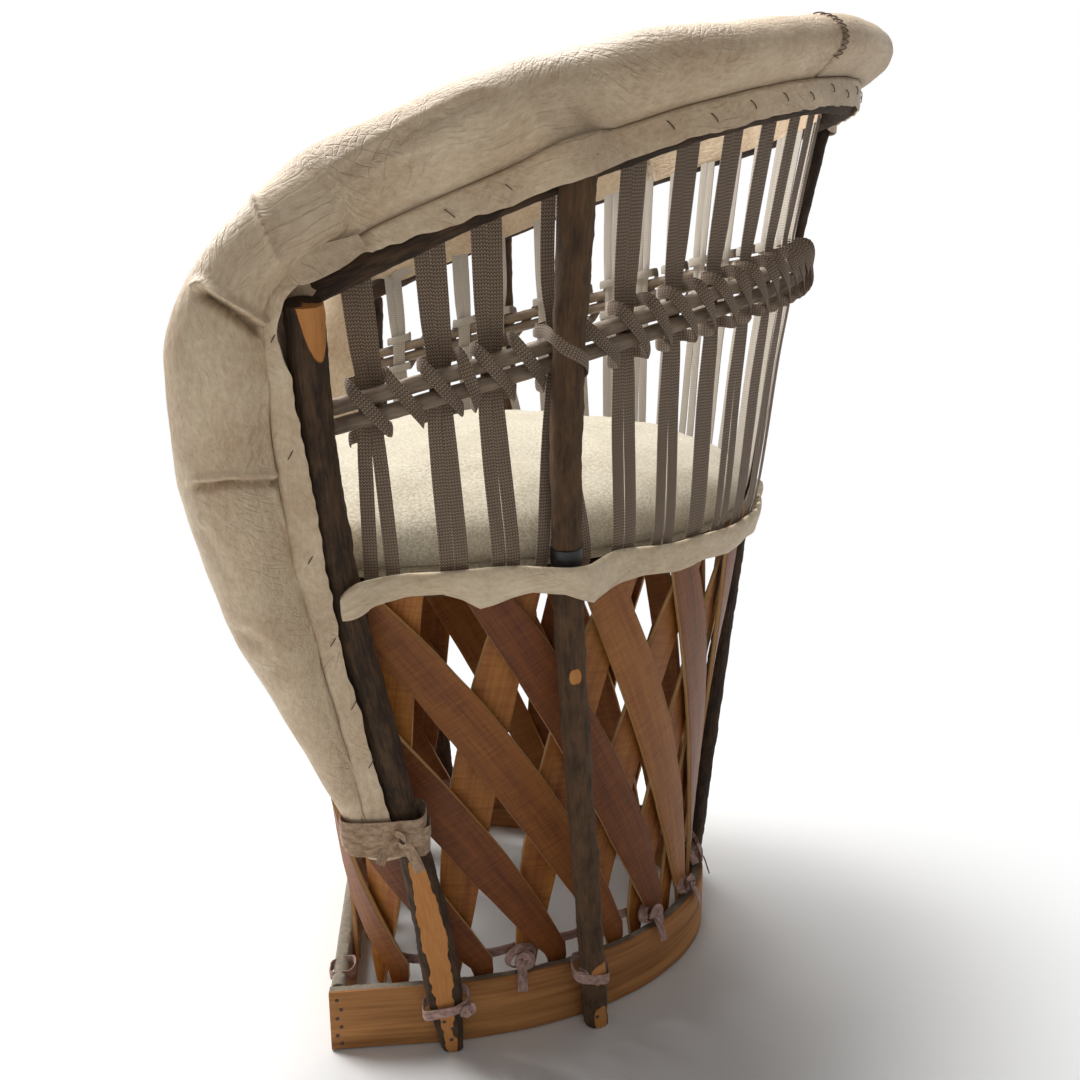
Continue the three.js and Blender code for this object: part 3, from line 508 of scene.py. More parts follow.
def noise_on(tree, lay, stretch, detail=3.0, rough=0.55):
    """Value of a noise whose lumps are as long as stretch says, in mm along, across and deep."""
    placed = add_node(tree, "Mapping", {"Vector": lay, "Scale": tuple(1 / s for s in stretch)})
    return add_node(tree, "TexNoise", {"Vector": placed, "Scale": 1.0, "Detail": detail, "Roughness": rough})


def leather(name, light, shade, roughness):
    """Cream hide with a fine pebble grain and thin wrinkles: the eye reads dull, slightly waxy skin."""
    material, tree, lay, wear_and_painted_light = start_material(name, "wear_and_painted_light")
    mottle = noise_on(tree, lay, (46, 36, 30), 4)
    fine = noise_on(tree, lay, (6, 4, 4), 4, 0.7)
    blend = add_node(tree, "Math", {0: mottle, 1: fine}, operation="ADD")
    spread = add_node(tree, "MapRange", {"Value": blend, "From Min": 0.72, "From Max": 1.28})
    colour = add_node(tree, "Mix", {0: spread, 6: shade, 7: light}, data_type="RGBA")
    # Pebbles of 2 mm, coarser than the real grain, so that they still show
    placed = add_node(tree, "Mapping", {"Vector": lay, "Scale": (1 / 2.4, 1 / 1.7, 1 / 2.0)})
    pebble = add_node(tree, "TexVoronoi", {"Vector": placed, "Scale": 1.0}, feature="SMOOTH_F1")
    # Wrinkles run along the roll, across it and slantwise, each kind in its own patches
    wrinkles = 0.0
    wrinkle_kinds = ((0.05, (70, 9, 20), 90), (0.62, (44, 8, 20), 70), (-0.9, (30, 7, 20), 60))
    for turn, stretch, patch_size in wrinkle_kinds:
        turned = add_node(tree, "Mapping", {"Vector": lay, "Rotation": (0, 0, turn)})
        line = noise_on(tree, turned, stretch, 2, 0.5)
        off = add_node(tree, "Math", {0: line, 1: 0.5}, operation="SUBTRACT")
        away = add_node(tree, "Math", {0: off}, operation="ABSOLUTE")
        cut = add_node(tree, "MapRange", {"Value": away, "From Max": 0.05, "To Min": 1.0, "To Max": 0.0},
                       interpolation_type="SMOOTHSTEP")
        patches = noise_on(tree, turned, [patch_size] * 3, 1)
        here = add_node(tree, "MapRange", {"Value": patches, "From Min": 0.48, "From Max": 0.66})
        lines = add_node(tree, "Math", {0: cut, 1: here}, operation="MULTIPLY")
        wrinkles = add_node(tree, "Math", {0: wrinkles, 1: lines}, operation="MAXIMUM")
    # The wrinkle lines also darken the colour a little toward brown: painted shade in the creases
    shaded = add_node(tree, "Math", {0: wrinkles, 1: 0.07}, operation="MULTIPLY")
    painted_crease_shade = add_node(tree, "Mix", {0: shaded, 6: colour, 7: "#7F6B52"}, data_type="RGBA")
    # Marked parts go dark brown: the seam line, sewn joints and patch are the hide's own colour; in the pleat
    # valleys and under the corner leaves it is painted shade
    soiled_and_shaded = add_node(tree, "Mix", {0: wear_and_painted_light, 6: painted_crease_shade, 7: "#6E5A44"}, data_type="RGBA")
    grain = add_node(tree, "Math", {0: pebble, 1: -0.4}, operation="MULTIPLY")
    relief = add_node(tree, "Math", {0: wrinkles, 1: -0.5}, operation="MULTIPLY")
    rough = add_node(tree, "Math", {0: relief, 1: grain}, operation="ADD")
    lumpy = add_node(tree, "Math", {0: rough, 1: fine}, operation="ADD")
    end_material(tree, soiled_and_shaded, lumpy, 0.8, Roughness=roughness, Specular_IOR_Level=0.35)
    return material


def hide():
    """Stretched suede hide, speckled by hair roots: a dry, pale cushion with no shine."""
    material, tree, lay = start_material("seat_hide")
    cloud = noise_on(tree, lay, (60, 60, 40), 3)
    # Specks of 2 mm stand for hair roots under a millimetre
    speck = noise_on(tree, lay, (2.2, 2.2, 2.2), 2, 0.8)
    specks = add_node(tree, "MapRange", {"Value": speck, "From Min": 0.4, "From Max": 0.62})
    pale = add_node(tree, "Mix", {0: cloud, 6: "#ADA38E", 7: "#D3CCBC"}, data_type="RGBA")
    colour = add_node(tree, "Mix", {0: specks, 6: "#A39A86", 7: pale}, data_type="RGBA")
    end_material(tree, colour, speck, 0.25, Roughness=0.9, Sheen_Weight=0.15, Specular_IOR_Level=0.2)
    return material


def split_wood():
    """Split and sawn boards, oiled: long fibres, saw marks across them, and paler edges, part wood, part
    painted highlight.
    """
    material, tree, lay, wear_and_painted_light, tone = start_material("split_wood", "wear_and_painted_light", "tone")
    fibres = noise_on(tree, lay, (70, 2.4, 8), 4, 0.65)
    bands = noise_on(tree, lay, (160, 14, 20), 3)
    # Saw marks every 3 mm or so, coarser than the real ones
    marks = noise_on(tree, lay, (2.6, 26, 20), 3, 0.7)
    dark = add_node(tree, "Mix", {0: tone, 6: "#3A1503", 7: "#8E4A12"}, data_type="RGBA")
    light = add_node(tree, "Mix", {0: tone, 6: "#7A3A0C", 7: "#C08238"}, data_type="RGBA")
    weave = add_node(tree, "Math", {0: fibres, 1: marks}, operation="ADD")
    cloudy = add_node(tree, "Math", {0: weave, 1: bands}, operation="ADD")
    spread = add_node(tree, "MapRange", {"Value": cloudy, "From Min": 1.1, "From Max": 1.95})
    body = add_node(tree, "Mix", {0: spread, 6: dark, 7: light}, data_type="RGBA")
    # The marked side faces turn paler: paler split wood, and a painted highlight on the lit edges
    edge = add_node(tree, "Math", {0: wear_and_painted_light, 1: 0.75}, operation="MULTIPLY")
    colour = add_node(tree, "Mix", {0: edge, 6: body, 7: "#CFA56C"}, data_type="RGBA")
    end_material(tree, colour, weave, 0.5, Roughness=0.55, Specular_IOR_Level=0.4)
    return material


def board_wood():
    """Planed board with fine lengthwise grain and grey bark left inside its top edge."""
    material, tree, lay, wear_and_painted_light = start_material("board_wood", "wear_and_painted_light")
    fibres = noise_on(tree, lay, (90, 10, 3.2), 4, 0.6)
    bands = noise_on(tree, lay, (220, 20, 16), 2)
    speckle = noise_on(tree, lay, (5, 5, 3), 2, 0.8)
    mixed = add_node(tree, "Math", {0: fibres, 1: bands}, operation="ADD")
    spread = add_node(tree, "MapRange", {"Value": mixed, "From Min": 0.72, "From Max": 1.3})
    body = add_node(tree, "Mix", {0: spread, 6: "#83542C", 7: "#C08850"}, data_type="RGBA")
    bark_left = add_node(tree, "Mix", {0: speckle, 6: "#5B5146", 7: "#A09684"}, data_type="RGBA")
    colour = add_node(tree, "Mix", {0: wear_and_painted_light, 6: body, 7: bark_left}, data_type="RGBA")
    relief = add_node(tree, "Math", {0: fibres, 1: speckle}, operation="ADD")
    end_material(tree, colour, relief, 0.5, Roughness=0.7, Specular_IOR_Level=0.3)
    return material


def bark(name, dark_hex, light_hex, bare_hex, roughness, depth_mm):
    """Round sticks with the bark on: long dark fissures over grey, and bare wood where cut or rubbed."""
    material, tree, lay, wear_and_painted_light, tone = start_material(name, "wear_and_painted_light", "tone")
    fissure = noise_on(tree, lay, (20, 2.1, 2.1), 5, 0.7)
    patch = noise_on(tree, lay, (24, 9, 9), 3, 0.6)
    mixed = add_node(tree, "Math", {0: fissure, 1: patch}, operation="ADD")
    lifted = add_node(tree, "Math", {0: mixed, 1: tone}, operation="ADD")
    spread = add_node(tree, "MapRange", {"Value": lifted, "From Min": 1.15, "From Max": 1.95})
    body = add_node(tree, "Mix", {0: spread, 6: dark_hex, 7: light_hex}, data_type="RGBA")
    bare = add_node(tree, "Mix", {0: fissure, 6: bare_hex, 7: "#CB9358"}, data_type="RGBA")
    ragged = add_node(tree, "Math", {0: patch, 1: 0.35, 2: wear_and_painted_light}, operation="MULTIPLY_ADD")
    mask = add_node(tree, "MapRange", {"Value": ragged, "From Min": 0.62, "From Max": 0.74})
    colour = add_node(tree, "Mix", {0: mask, 6: body, 7: bare}, data_type="RGBA")
    calm = add_node(tree, "MapRange", {"Value": mask, "To Min": 1.0, "To Max": 0.25})
    relief = add_node(tree, "Math", {0: mixed, 1: calm}, operation="MULTIPLY")
    end_material(tree, colour, relief, depth_mm, Roughness=roughness, Specular_IOR_Level=0.3)
    return material


def woven_tape():
    """Narrow woven tape: rows of pale stitches on taupe, paler on the side that faces the sitter."""
    material, tree, lay, wear_and_painted_light = start_material("woven_tape", "wear_and_painted_light")
    # Five columns of V stitches on a tape, 2.2 mm long, are coarser than the real weave, so that they show
    along = add_node(tree, "SeparateXYZ", {0: lay})
    sideways = along.node.outputs[1]
    column = add_node(tree, "Math", {0: sideways, 1: 1 / 1.88}, operation="MULTIPLY")
    beside = add_node(tree, "Math", {0: column, 1: 0.5}, operation="PINGPONG")
    stitch = add_node(tree, "Math", {0: along, 1: 1 / 2.2}, operation="MULTIPLY")
    leaning = add_node(tree, "Math", {0: beside, 1: 1.5, 2: stitch}, operation="MULTIPLY_ADD")
    beat = add_node(tree, "Math", {0: leaning, 1: 0.5}, operation="PINGPONG")
    thread = add_node(tree, "MapRange", {"Value": beat, "From Min": 0.15, "From Max": 0.4})
    inside = add_node(tree, "MapRange", {"Value": beside, "From Min": 0.03, "From Max": 0.15})
    rows = add_node(tree, "Math", {0: thread, 1: inside}, operation="MULTIPLY")
    length = noise_on(tree, lay, (20, 4, 4), 3)
    ground = add_node(tree, "Mix", {0: length, 6: "#432F20", 7: "#6C533F"}, data_type="RGBA")
    outer = add_node(tree, "Mix", {0: rows, 6: ground, 7: "#AA9781"}, data_type="RGBA")
    inner = add_node(tree, "Mix", {0: rows, 6: "#AEA294", 7: "#DAD2C5"}, data_type="RGBA")
    colour = add_node(tree, "Mix", {0: wear_and_painted_light, 6: outer, 7: inner}, data_type="RGBA")
    end_material(tree, colour, rows, 0.45, Roughness=0.85, Sheen_Weight=0.1)
    return material


def soft_strip(name, dark_hex, light_hex):
    """Suede, raw hide or thick thread: matte, with a nap that clouds its colour."""
    material, tree, lay = start_material(name)
    nap = noise_on(tree, lay, (7, 3.5, 5), 4, 0.7)
    spread = add_node(tree, "MapRange", {"Value": nap, "From Min": 0.35, "From Max": 0.65})
    colour = add_node(tree, "Mix", {0: spread, 6: dark_hex, 7: light_hex}, data_type="RGBA")
    end_material(tree, colour, nap, 0.5, Roughness=0.92, Sheen_Weight=0.2, Specular_IOR_Level=0.2)
    return material


def metal():
    """Dull steel wire of staples and nail heads, with some rust."""
    material, tree, lay = start_material("staple_steel")
    rust = noise_on(tree, lay, (2, 2, 2), 2)
    colour = add_node(tree, "Mix", {0: rust, 6: "#3A2C24", 7: "#5C4B40"}, data_type="RGBA")
    end_material(tree, colour, rust, 0.1, Roughness=0.5, Metallic=0.7)
    return material


def sticky_tape():
    """Black sticky tape wound round a post: smooth, with a faint shine and wrinkles."""
    material, tree, lay = start_material("black_tape")
    wrinkle = noise_on(tree, lay, (3, 14, 14), 3)
    colour = add_node(tree, "Mix", {0: wrinkle, 6: "#08080A", 7: "#1C1C20"}, data_type="RGBA")
    end_material(tree, colour, wrinkle, 0.3, Roughness=0.4)
    return material


roll_leather = leather("roll_leather", "#D6C2A5", "#B4987A", 0.5)
trim_leather = leather("trim_leather", "#DDCCAF", "#C0A88A", 0.6)
seat_hide = hide()
splint_wood = split_wood()
base_wood = board_wood()
post_bark = bark("post_bark", "#291D14", "#6E5238", "#A5622C", 0.85, 1.1)
pale_bark = bark("rail_bark", "#5A4A3C", "#A08C76", "#B08A5E", 0.55, 0.5)
tape = woven_tape()
suede = soft_strip("tie_suede", "#8A6F56", "#BEA388")
lace_hide = soft_strip("lace_hide", "#8A6A60", "#C0A096")
seam_thread = soft_strip("seam_thread", "#5C4632", "#806650")
steel = metal()
black_tape = sticky_tape()


# Base
def base_board():
    """The bent board: its section is outward and up, with bark left inside the top edge, corners 10 to 13."""
    half_thick = base["thick"] / 2
    middle = dict(base, half=base["half"] - half_thick, bow=base["bow"] - half_thick)
    rows = [(-middle["half"], base["front"] + 0.2, 0.0, -1.0, 0.0)]
    for angle in np.linspace(-math.pi / 2, math.pi / 2, 120):
        place, out = on_bow(middle, angle)
        rows.append((*place, *out[:2]))
    rows.append((middle["half"], base["front"] + 0.2, 0.0, 1.0, 0.0))
    rows = through(rows, 260)
    reach = reaches(rows[:, :3])
    corners = [
        (-6, 1.5), (-5, 0.2), (5, 0.2), (6, 1.5), (6, 14), (6, 27), (6, 40), (6, 52.2), (5.2, 53.6),
        (3.4, 54), (2.6, 53.8), (0, 53.4), (-3, 53.2), (-5.2, 52.6), (-6, 51), (-6, 27),
    ]
    bark_corners = range(10, 14)
    rings, lays = [], []
    for i, row in enumerate(rows):
        out = unit([row[3], row[4], 0.0])
        ring = []
        for j, (x, z) in enumerate(corners):
            lumps = noise.noise(Vector((reach[i] / 30, x / 6, z / 20))) * 0.7
            if z < 2:
                z = z + max(0.0, noise.noise(Vector((reach[i] / 45, 3.0, 0.0))) * 2.4)
            if j in bark_corners:
                z = z - 0.8 + noise.noise(Vector((reach[i] / 6, x / 3, 9.0))) * 1.1
            ring.append(row[:3] * [1, 1, 0] + out * (x + min(lumps, 0.0)) + [0, 0, z])
        rings.append(ring)
        lays.append([(reach[i], x, z) for x, z in corners])
    return skin(rings, lays, [float(j in bark_corners) for j in range(len(corners))] * len(rows))


def cross_board():
    """The straight board between the ends of the bent one: its section is inward and up."""
    half = base["half"] - base["thick"] - gap
    corners = [
        (0, 0.4), (0, 20), (0, 44), (0.8, 50), (3, 53), (7, 54), (11, 53), (13.4, 50), (14, 44), (14, 20),
        (14, 0.4),
    ]
    rings, lays = [], []
    places = np.linspace(-half, half, 90)
    for x in places:
        ring = []
        for y, z in corners:
            lumps = noise.noise(Vector((x / 22, y / 5, z / 16))) * (1.2 if z > 43 else 0.4)
            ring.append((x, base["front"] + y, z - max(0.0, lumps)))
        rings.append(ring)
        lays.append([(x, y, z) for y, z in corners])
    return skin(rings, lays, [float(z > 46) for _, z in corners] * len(places))


piece("base_board", [base_board()], base_wood, ["base_hoop"])
piece("cross_board", [cross_board()], base_wood, ["front_cross_board"])

# Splints
splint_rows = 44
splint_heights = [-0.06, -0.03, 0, 0.12, 0.3, 0.5, 0.7, 0.87, 1]
splint_widths = [8.0, 15.0, 20.0, 28.5, 36.75, 38.0, 37.25, 33.0, 25.5]
board_section = [
    (1, 0.5), (0.97, 0.9), (0.85, 1), (0.4, 1), (0, 1), (-0.4, 1), (-0.85, 1), (-0.97, 0.9), (-1, 0.5),
    (-1, -0.5), (-0.97, -0.9), (-0.85, -1), (0, -1), (0.85, -1), (0.97, -0.9), (1, -0.5),
]


def splint(layer, number, tone):
    """One board of the wall. Its foot narrows to a tip that hides behind the base."""
    chance = random.Random(100 * layer + number)
    lean = splint_lean[layer]
    top_share = splint_start[layer] / splints_each_layer + number / splints_each_layer
    heights = np.linspace(0, 1, 30)
    rows = [np.concatenate(on_wall(layer, top_share + lean * (1 - h), h)) for h in heights]
    tip, above_tip = rows[0].copy(), rows[0].copy()
    tip[2], above_tip[2] = 32.0, 46.0
    rows = np.array([tip, above_tip, *rows])
    widths = np.interp([*splint_heights[:2], *heights], splint_heights, splint_widths)
    shares = reaches(rows[:, :3]) / reaches(rows[:, :3])[-1]
    widths = np.interp(np.linspace(0, 1, splint_rows), shares, widths)
    line = through(rows, splint_rows)
    reach = reaches(line[:, :3])
    bow = chance.uniform(-1.5, 1.5)
    seed = chance.uniform(0, 40)
    rings, lays = [], []
    for i, step in enumerate(directions(line[:, :3])):
        across = unit(np.cross(step, line[i, 3:6]))
        out = np.cross(across, step)
        ring, lay = [], []
        for x, y in board_section:
            half = widths[i] / 2 * (0.985 + 0.03 * noise.noise(Vector((reach[i] / 40, x * 2, seed))))
            side = x * half + bow * math.sin(math.pi * i / (splint_rows - 1))
            deep = y * (splint_half_thick - 0.35 * x * x)
            deep += 0.35 * noise.noise(Vector((reach[i] / 16, x * 2 + y, seed)))
            ring.append(line[i, :3] + across * side + out * deep)
            lay.append((reach[i] + number * 400, x * half + number * 60, y * splint_half_thick + layer * 90))
        rings.append(ring)
        lays.append(lay)
    # The side faces are marked for the paler edge colour: paler wood and a painted highlight
    return skin(rings, lays, [float(abs(x) > 0.98) for x, _ in board_section] * splint_rows, tone)


outer_tones = [
    0.3, 0.25, 0.22, 0.62, 0.12, 0.36, 0.15, 0.12, 0.3, 0.5, 0.2, 0.45, 0.35, 0.6, 0.25, 0.4, 0.55, 0.3,
]
inner_tones = [
    0.6, 0.5, 0.62, 0.7, 0.66, 0.85, 0.8, 0.7, 0.6, 0.75, 0.55, 0.7, 0.8, 0.6, 0.7, 0.5, 0.65, 0.75,
]
for layer, tones, word, slot_name in ((0, outer_tones, "outer", "splint_wood"),
                                      (1, inner_tones, "inner", "splint_wood_pale")):
    for number, tone in enumerate(tones):
        piece(f"{word}_splint_{number + 1}", [splint(layer, number, tone)], splint_wood,
              [f"splint_{word}_{number + 1}"])

# Posts: the front ones are shaved flat outside near the foot. Their widths and depths go by height.
sides_of_chair = ((1, "left"), (-1, "right"))
front_wide = ([0, 20, 60, 110, 150, 185, 215, 602], [8.5, 10.5, 14.5, 15.0, 13.5, 12.2, 11.5, 11.3])
front_deep = ([0, 60, 120, 170, 215, 602], [6.5, 7.5, 9.5, 11.0, 11.5, 11.3])
front_flat = ([0, 60, 120, 190, 206, 210], [5.6, 6.0, 7.0, 9.0, 11.5, 99.0])
front_knots = [(590, 0.2, 9, 2.2), (470, 2.0, 8, 1.4), (330, 0.6, 10, 1.2)]
side_knots = [(700, 1.2, 8, 1.6), (585, -0.5, 9, 1.3), (470, 0.4, 10, 1.2), (180, 1.0, 8, 1.5),
              (300, 2.2, 12, 1.0)]
side_bare = [(62, 0.6, 10, 0.35, False), (352, 0.1, 6, 0.1, False), (12, 0.4, 14, 0.2, False),
             (715, 2.3, 18, 0.25, False)]


def bark_piece(name, made, node, stuff=post_bark):
    piece(name, [made], stuff, [node])


for side, word in sides_of_chair:
    line = front_lines[side]
    wide, deep, flat = (np.interp(line[:, 2], *sizes) for sizes in (front_wide, front_deep, front_flat))
    bark_piece(f"{word}_front_post", stick(
        line, np.column_stack([wide, deep]), (side, 0, 0), 3 + side, 36, 0.7, front_knots, flat, 0.32,
        [(656, 0.75 * side, 62, 1.0, True)]), f"front_post_{word}")
    bark_piece(f"{word}_side_post", stick(
        side_lines[side], side_post_radius, (side, 0, 0), 9 + side, 28, 0.8, side_knots, bare=side_bare,
    ), f"side_post_{word}")
# Its low tone darkens the bark: painted shade, for the back of the chair in shadow
bark_piece("rear_post", stick(rear_line, rear_post_radius, (0, 1, 0), 16, lumps=0.7, tone=0.2,
                              knots=[(650, 0.5, 8, 1.3), (260, 1.9, 9, 1.2)]), "rear_post")

# Sticks of the rim, and the ring under the seat
bark_piece("rim_hoop", stick(bow_line(hoop), hoop_radius - 0.5, (0, 0, 1), 21, lumps=0.6, tone=0.25,
                             knots=[(300, -1.5, 9, 1.0), (800, -1.7, 9, 1.2)]), "top_hoop")
for word, rise, seed, tone in (("lower", 0.0, 22, 0.5), ("upper", rail_pitch, 23, 0.55)):
    made = stick(bow_line(rail, rise), rail_radius - 0.1, (0, 0, 1), seed, 12, 0.3, tone=tone)
    bark_piece(f"{word}_rail", made, f"rail_{word}", pale_bark)
ring_path = Outline(seat, 25.2)
ring_rows = np.array([ring_path.at(0.5 + s)[0] + [0, 0, 411.6] for s in np.linspace(0.0005, 0.9995, 120)])
bark_piece("hidden_seat_ring", stick(ring_rows, 10.8, (0, 0, 1), 24, 12, 0.4, tone=0.4), "seat_ring")

# Webbing: every strap is two tapes side by side, gathered where the rails hold them
seat_spreads = {13: 7.0, 12: 4.9, 11: 5.1}
rail_line_offset = -(rail_radius + gap + 0.9)
near_rail = 20.0
seat_line_offset = 8.8
hidden_tail = 28


def strap_tapes(number):
    chance = random.Random(number + 50)
    hoop_angle, rail_angle, seat_angle = strap_angles(number)
    head, hoop_out = on_rim(hoop, hoop_angle, -12.4, 5)
    held, rail_out = on_bow(rail, rail_angle, rail_line_offset)
    middle = rim_height(rail, rail_angle) + rail_pitch / 2
    low, seat_out = on_bow(seat, seat_angle, seat_line_offset)
    tail, _ = on_bow(seat, seat_angle, seat_line_offset - side_slope * hidden_tail)
    low = low + [0, 0, 431]
    tail = tail + [0, 0, 414]
    above, below = (held + [0, 0, middle + rise] for rise in (near_rail, -near_rail))
    split = abs(number) == side_post_strap
    spread = 16.5 if split else seat_spreads.get(number, chance.uniform(4.8, 6.4))
    made = []
    for way in (1, -1):
        pinch = 0.6 if split else chance.uniform(2.5, 3.4)
        slip = way * 0.55 + 0.2
        # Place, outward direction, distance aside, width, cup and outward shift
        stations = [
            (head, hoop_out, 4.85, 9.3, 0.0, 0.0),
            (head * 0.25 + above * 0.75, hoop_out, 4.4, 9.2, 0.3, 0.0),
            (above, rail_out, pinch + 0.8, 8.6, 0.9, slip * 0.7),
            (held + [0, 0, middle + 8], rail_out, pinch, 7.8, 0.9, slip),
            (held + [0, 0, middle - 8], rail_out, pinch, 7.8, 0.9, slip),
            (below, rail_out, pinch + 0.9, 8.6, 0.9, slip * 0.7),
            (below * 0.7 + low * 0.3, rail_out, pinch + 0.9 + (spread - pinch) * 0.3, 9.2, 0.3, 0.0),
            (low, seat_out, spread, 9.4, 0.0, 0.0),
            (tail, seat_out, spread, 9.4, 0.0, 0.0),
        ]
        rows = []
        for place, out, aside, width, cup, lift in stations:
            along = np.array([out[1], -out[0], 0.0])
            rows.append(np.concatenate([place + along * way * aside + out * lift, out, [width, cup]]))
        rows = through(rows, 44)
        made.append(ribbon(rows[:, :6], rows[:, 6], 1.3, seed=number * 2 + way, cup=rows[:, 7]))
    return made


def strap_head(first, last):
    """The turn of the tape over the hoop, from strap to strap."""
    angles = [strap_angles(number)[0] for number in np.linspace(first, last, 8 * abs(last - first))]
    return ribbon([np.concatenate(on_rim(hoop, angle, -14.2, 4.0)) for angle in angles], 9.0, 1.2, seed=first)


for name, first, last in (("left", 4, 13), ("rear", -3, 3), ("right", -13, -4)):
    shapes = [s for number in range(first, last + 1) for s in strap_tapes(number)] + [strap_head(first, last)]
    piece(f"{name}_webbing", shapes, tape, [f"webbing_{name}"])

# Lashing: slants across both rails outside, and runs level behind each strap, below and above them
lash_out = rail_radius + 1.0 + 0.65
lash_in = rail_radius + gap + 1.6 + 1.6
lash_side = 11.6
lash_up = 16.3


def lashing(first, last):
    rows = []
    for number in range(first, last - 1, -1):
        angle = strap_angles(number)[1]
        speed = math.hypot(rail["half"] * math.cos(angle), rail["bow"] * math.sin(angle))
        # Onward, outward and up, then the onward and outward parts of the face
        w, h = lash_side, lash_up
        stations = [(-w, lash_out, -h, 1, 1), (-w, -lash_in, -h, 1, 1), (w, -lash_in, -h, -1, 1),
                    (w, lash_out, -h, -1, -1)]
        if abs(number) == side_post_strap or number == rear_post_strap:
            post_radius = side_post_radius if abs(number) == side_post_strap else rear_post_radius
            for degrees in (80, 40, 0, -40, -80):
                s, c = math.sin(math.radians(degrees)), math.cos(math.radians(degrees))
                reach = post_radius + 1.6
                up = -(h - 3.7) * degrees / 80
                centre = rail_radius + gap + post_radius + side_slope * (up + 6)
                stations.append((reach * s, centre + reach * c, up, -s, -c))
        stations += [(-w, lash_out, h, 1, -1), (-w, -lash_in, h, 1, 1), (w, -lash_in, h, -1, 1),
                     (w, lash_out, h, -1, 1)]
        for right, out_by, up, face_right, face_out in stations:
            here = angle - right / speed
            place, out = on_bow(rail, here, out_by)
            onward = np.array([-out[1], out[0], 0.0])
            face = onward * face_right + out * face_out
            rows.append([*(place + [0, 0, rim_height(rail, here) + 6 + up]), *face])
    made = ribbon(through(rows, len(rows) * 6), 8.2, 1.2, seed=first + 3, cup=0.25)
    # Only what faces the sitter is the pale side
    from_centre = made["points"] - [0, rail["centre"], 0]
    inward = -from_centre * [1 / rail["half"] ** 2, 1 / rail["bow"] ** 2, 0]
    ratio = np.hypot(from_centre[:, 0] / rail["half"], from_centre[:, 1] / rail["bow"])
    facing = (normals(made) * unit(inward)).sum(axis=1)
    made["wear_and_painted_light"] = ((facing > 0.3) & (ratio < 1.0)).astype(float)
    return made


for word, first, last in (("left", 13, 0), ("right", -1, -13)):
    piece(f"{word}_lashing", [lashing(first, last)], tape, [f"lashing_{word}"])


# Seat: the hide's hem goes over the ring all round, and at the front it comes down before it
hem_down_share = 0.156
hem_out_share = 0.166
hem_low_z = 406
seat_under_z = 423.0
seat_crown_z = 496


def seat_cushion():
    path = Outline(seat, 2.0)
    centre = np.array([0.0, 55.0, 0.0])
    close = [0.5 + w * (hem_down_share + 0.004 * k) for w in (1, -1) for k in range(1, 5)]
    stations = []
    for share in np.sort(np.concatenate([np.linspace(0, 1, 240, endpoint=False), close])):
        place, out, _ = path.at(share)
        away = abs(share - 0.5)
        deep, wide = (1 - np.clip((away - end) / 0.01, 0, 1) for end in (hem_down_share, hem_out_share))
        stations.append((place, out, deep, wide))

    def scaled(scale, z):
        return [(place - centre) * [scale, scale, 0] + centre + [0, 0, z] for place, _, _, _ in stations]

    def hem(thickness, level=None):
        return [
            place + out * (wide * 13.9 - 6 + thickness)
            + [0, 0, seat_under_z + level if level is not None else seat_z + (hem_low_z - seat_z) * deep]
            for place, out, deep, wide in stations
        ]
    scales = [0.965, 0.994, 1.0, 0.985, 0.94, 0.85, 0.7, 0.5, 0.25]
    rises = [0.06, 0.14, 0.26, 0.41, 0.55, 0.69, 0.82, 0.92, 0.98]
    profile = through([(s * 100, r * 100, 0.0) for s, r in zip(scales, rises)], 30) / 100
    rings = [scaled(0.9, seat_under_z), hem(0, 0.0), hem(0), hem(1.2), hem(2.4), hem(2.4, 0.6)]
    rings += [scaled(scale, seat_z + (seat_crown_z - seat_z) * rise) for scale, rise, _ in profile]
    reach = np.linspace(0, 320, len(rings))
    lays = [[(p[0], p[1], p[2] + along * 0.2) for p in ring] for along, ring in zip(reach, rings)]
    made = skin(rings, lays)
    points = made["points"]
    soft = np.clip((points[:, 2] - 428) / 14, 0, 1)
    lumps = wobble(points, 42, 3.6, 4) + wobble(points, 17, 1.2, 5)
    made["points"] = points + normals(made) * (soft * lumps)[:, None]
    return made


cushion = piece("seat_cushion", [seat_cushion()], seat_hide, ["seat_pad"], sharp=60)

# Rim band: the height of its lower edge goes by y, on the sitter's left and right
hem_left = [
    (-84, 405), (-54, 410), (-34, 412), (-13, 412), (0, 407), (12, 399.5), (26, 403), (45, 409.5), (62, 409),
    (84, 398.5), (98, 401), (112, 405), (130, 407), (160, 404), (183, 407), (210, 404), (233, 407),
    (264, 403),
]
hem_right = [
    (-84, 403), (-60, 409), (-20, 404), (10, 411), (48, 402), (80, 409), (120, 403), (160, 409), (200, 402),
    (235, 408), (264, 403),
]
band_z = 418.5
band_end = 0.305
# Across the band from its lower inner edge, round the outside and back: outward in mm, share of height
band_section = [
    (-1.0, 0.02), (-0.2, -0.01), (0.9, 0.0), (1.9, 0.08), (2.5, 0.2), (3.3, 0.38), (3.9, 0.56), (4.1, 0.72),
    (3.6, 0.86), (2.4, 0.96), (0.8, 1.0), (-0.8, 0.97), (-1.5, 0.85), (-1.3, 0.5), (-1.2, 0.2),
]
band_posts = [(line, front_post_radius) for line in front_lines.values()]
band_posts += [(line, side_post_radius) for line in side_lines.values()] + [(rear_line, rear_post_radius)]


def round_posts(place, onward, out, plain):
    """How far out the band runs: its plain distance, or more where a post is behind it."""
    most = plain
    for line, radius in band_posts:
        to_post = at_height(line, band_z) - place
        to_post[2] = 0
        reach = abs(float(np.dot(to_post, onward))) / 45
        if np.linalg.norm(to_post) > 90 or reach >= 1:
            continue
        beyond = float(np.dot(to_post, out)) + radius + gap + 1.2 + 2.6
        most = max(most, plain + (beyond - plain) * math.cos(reach * math.pi / 2) ** 2)
    return most


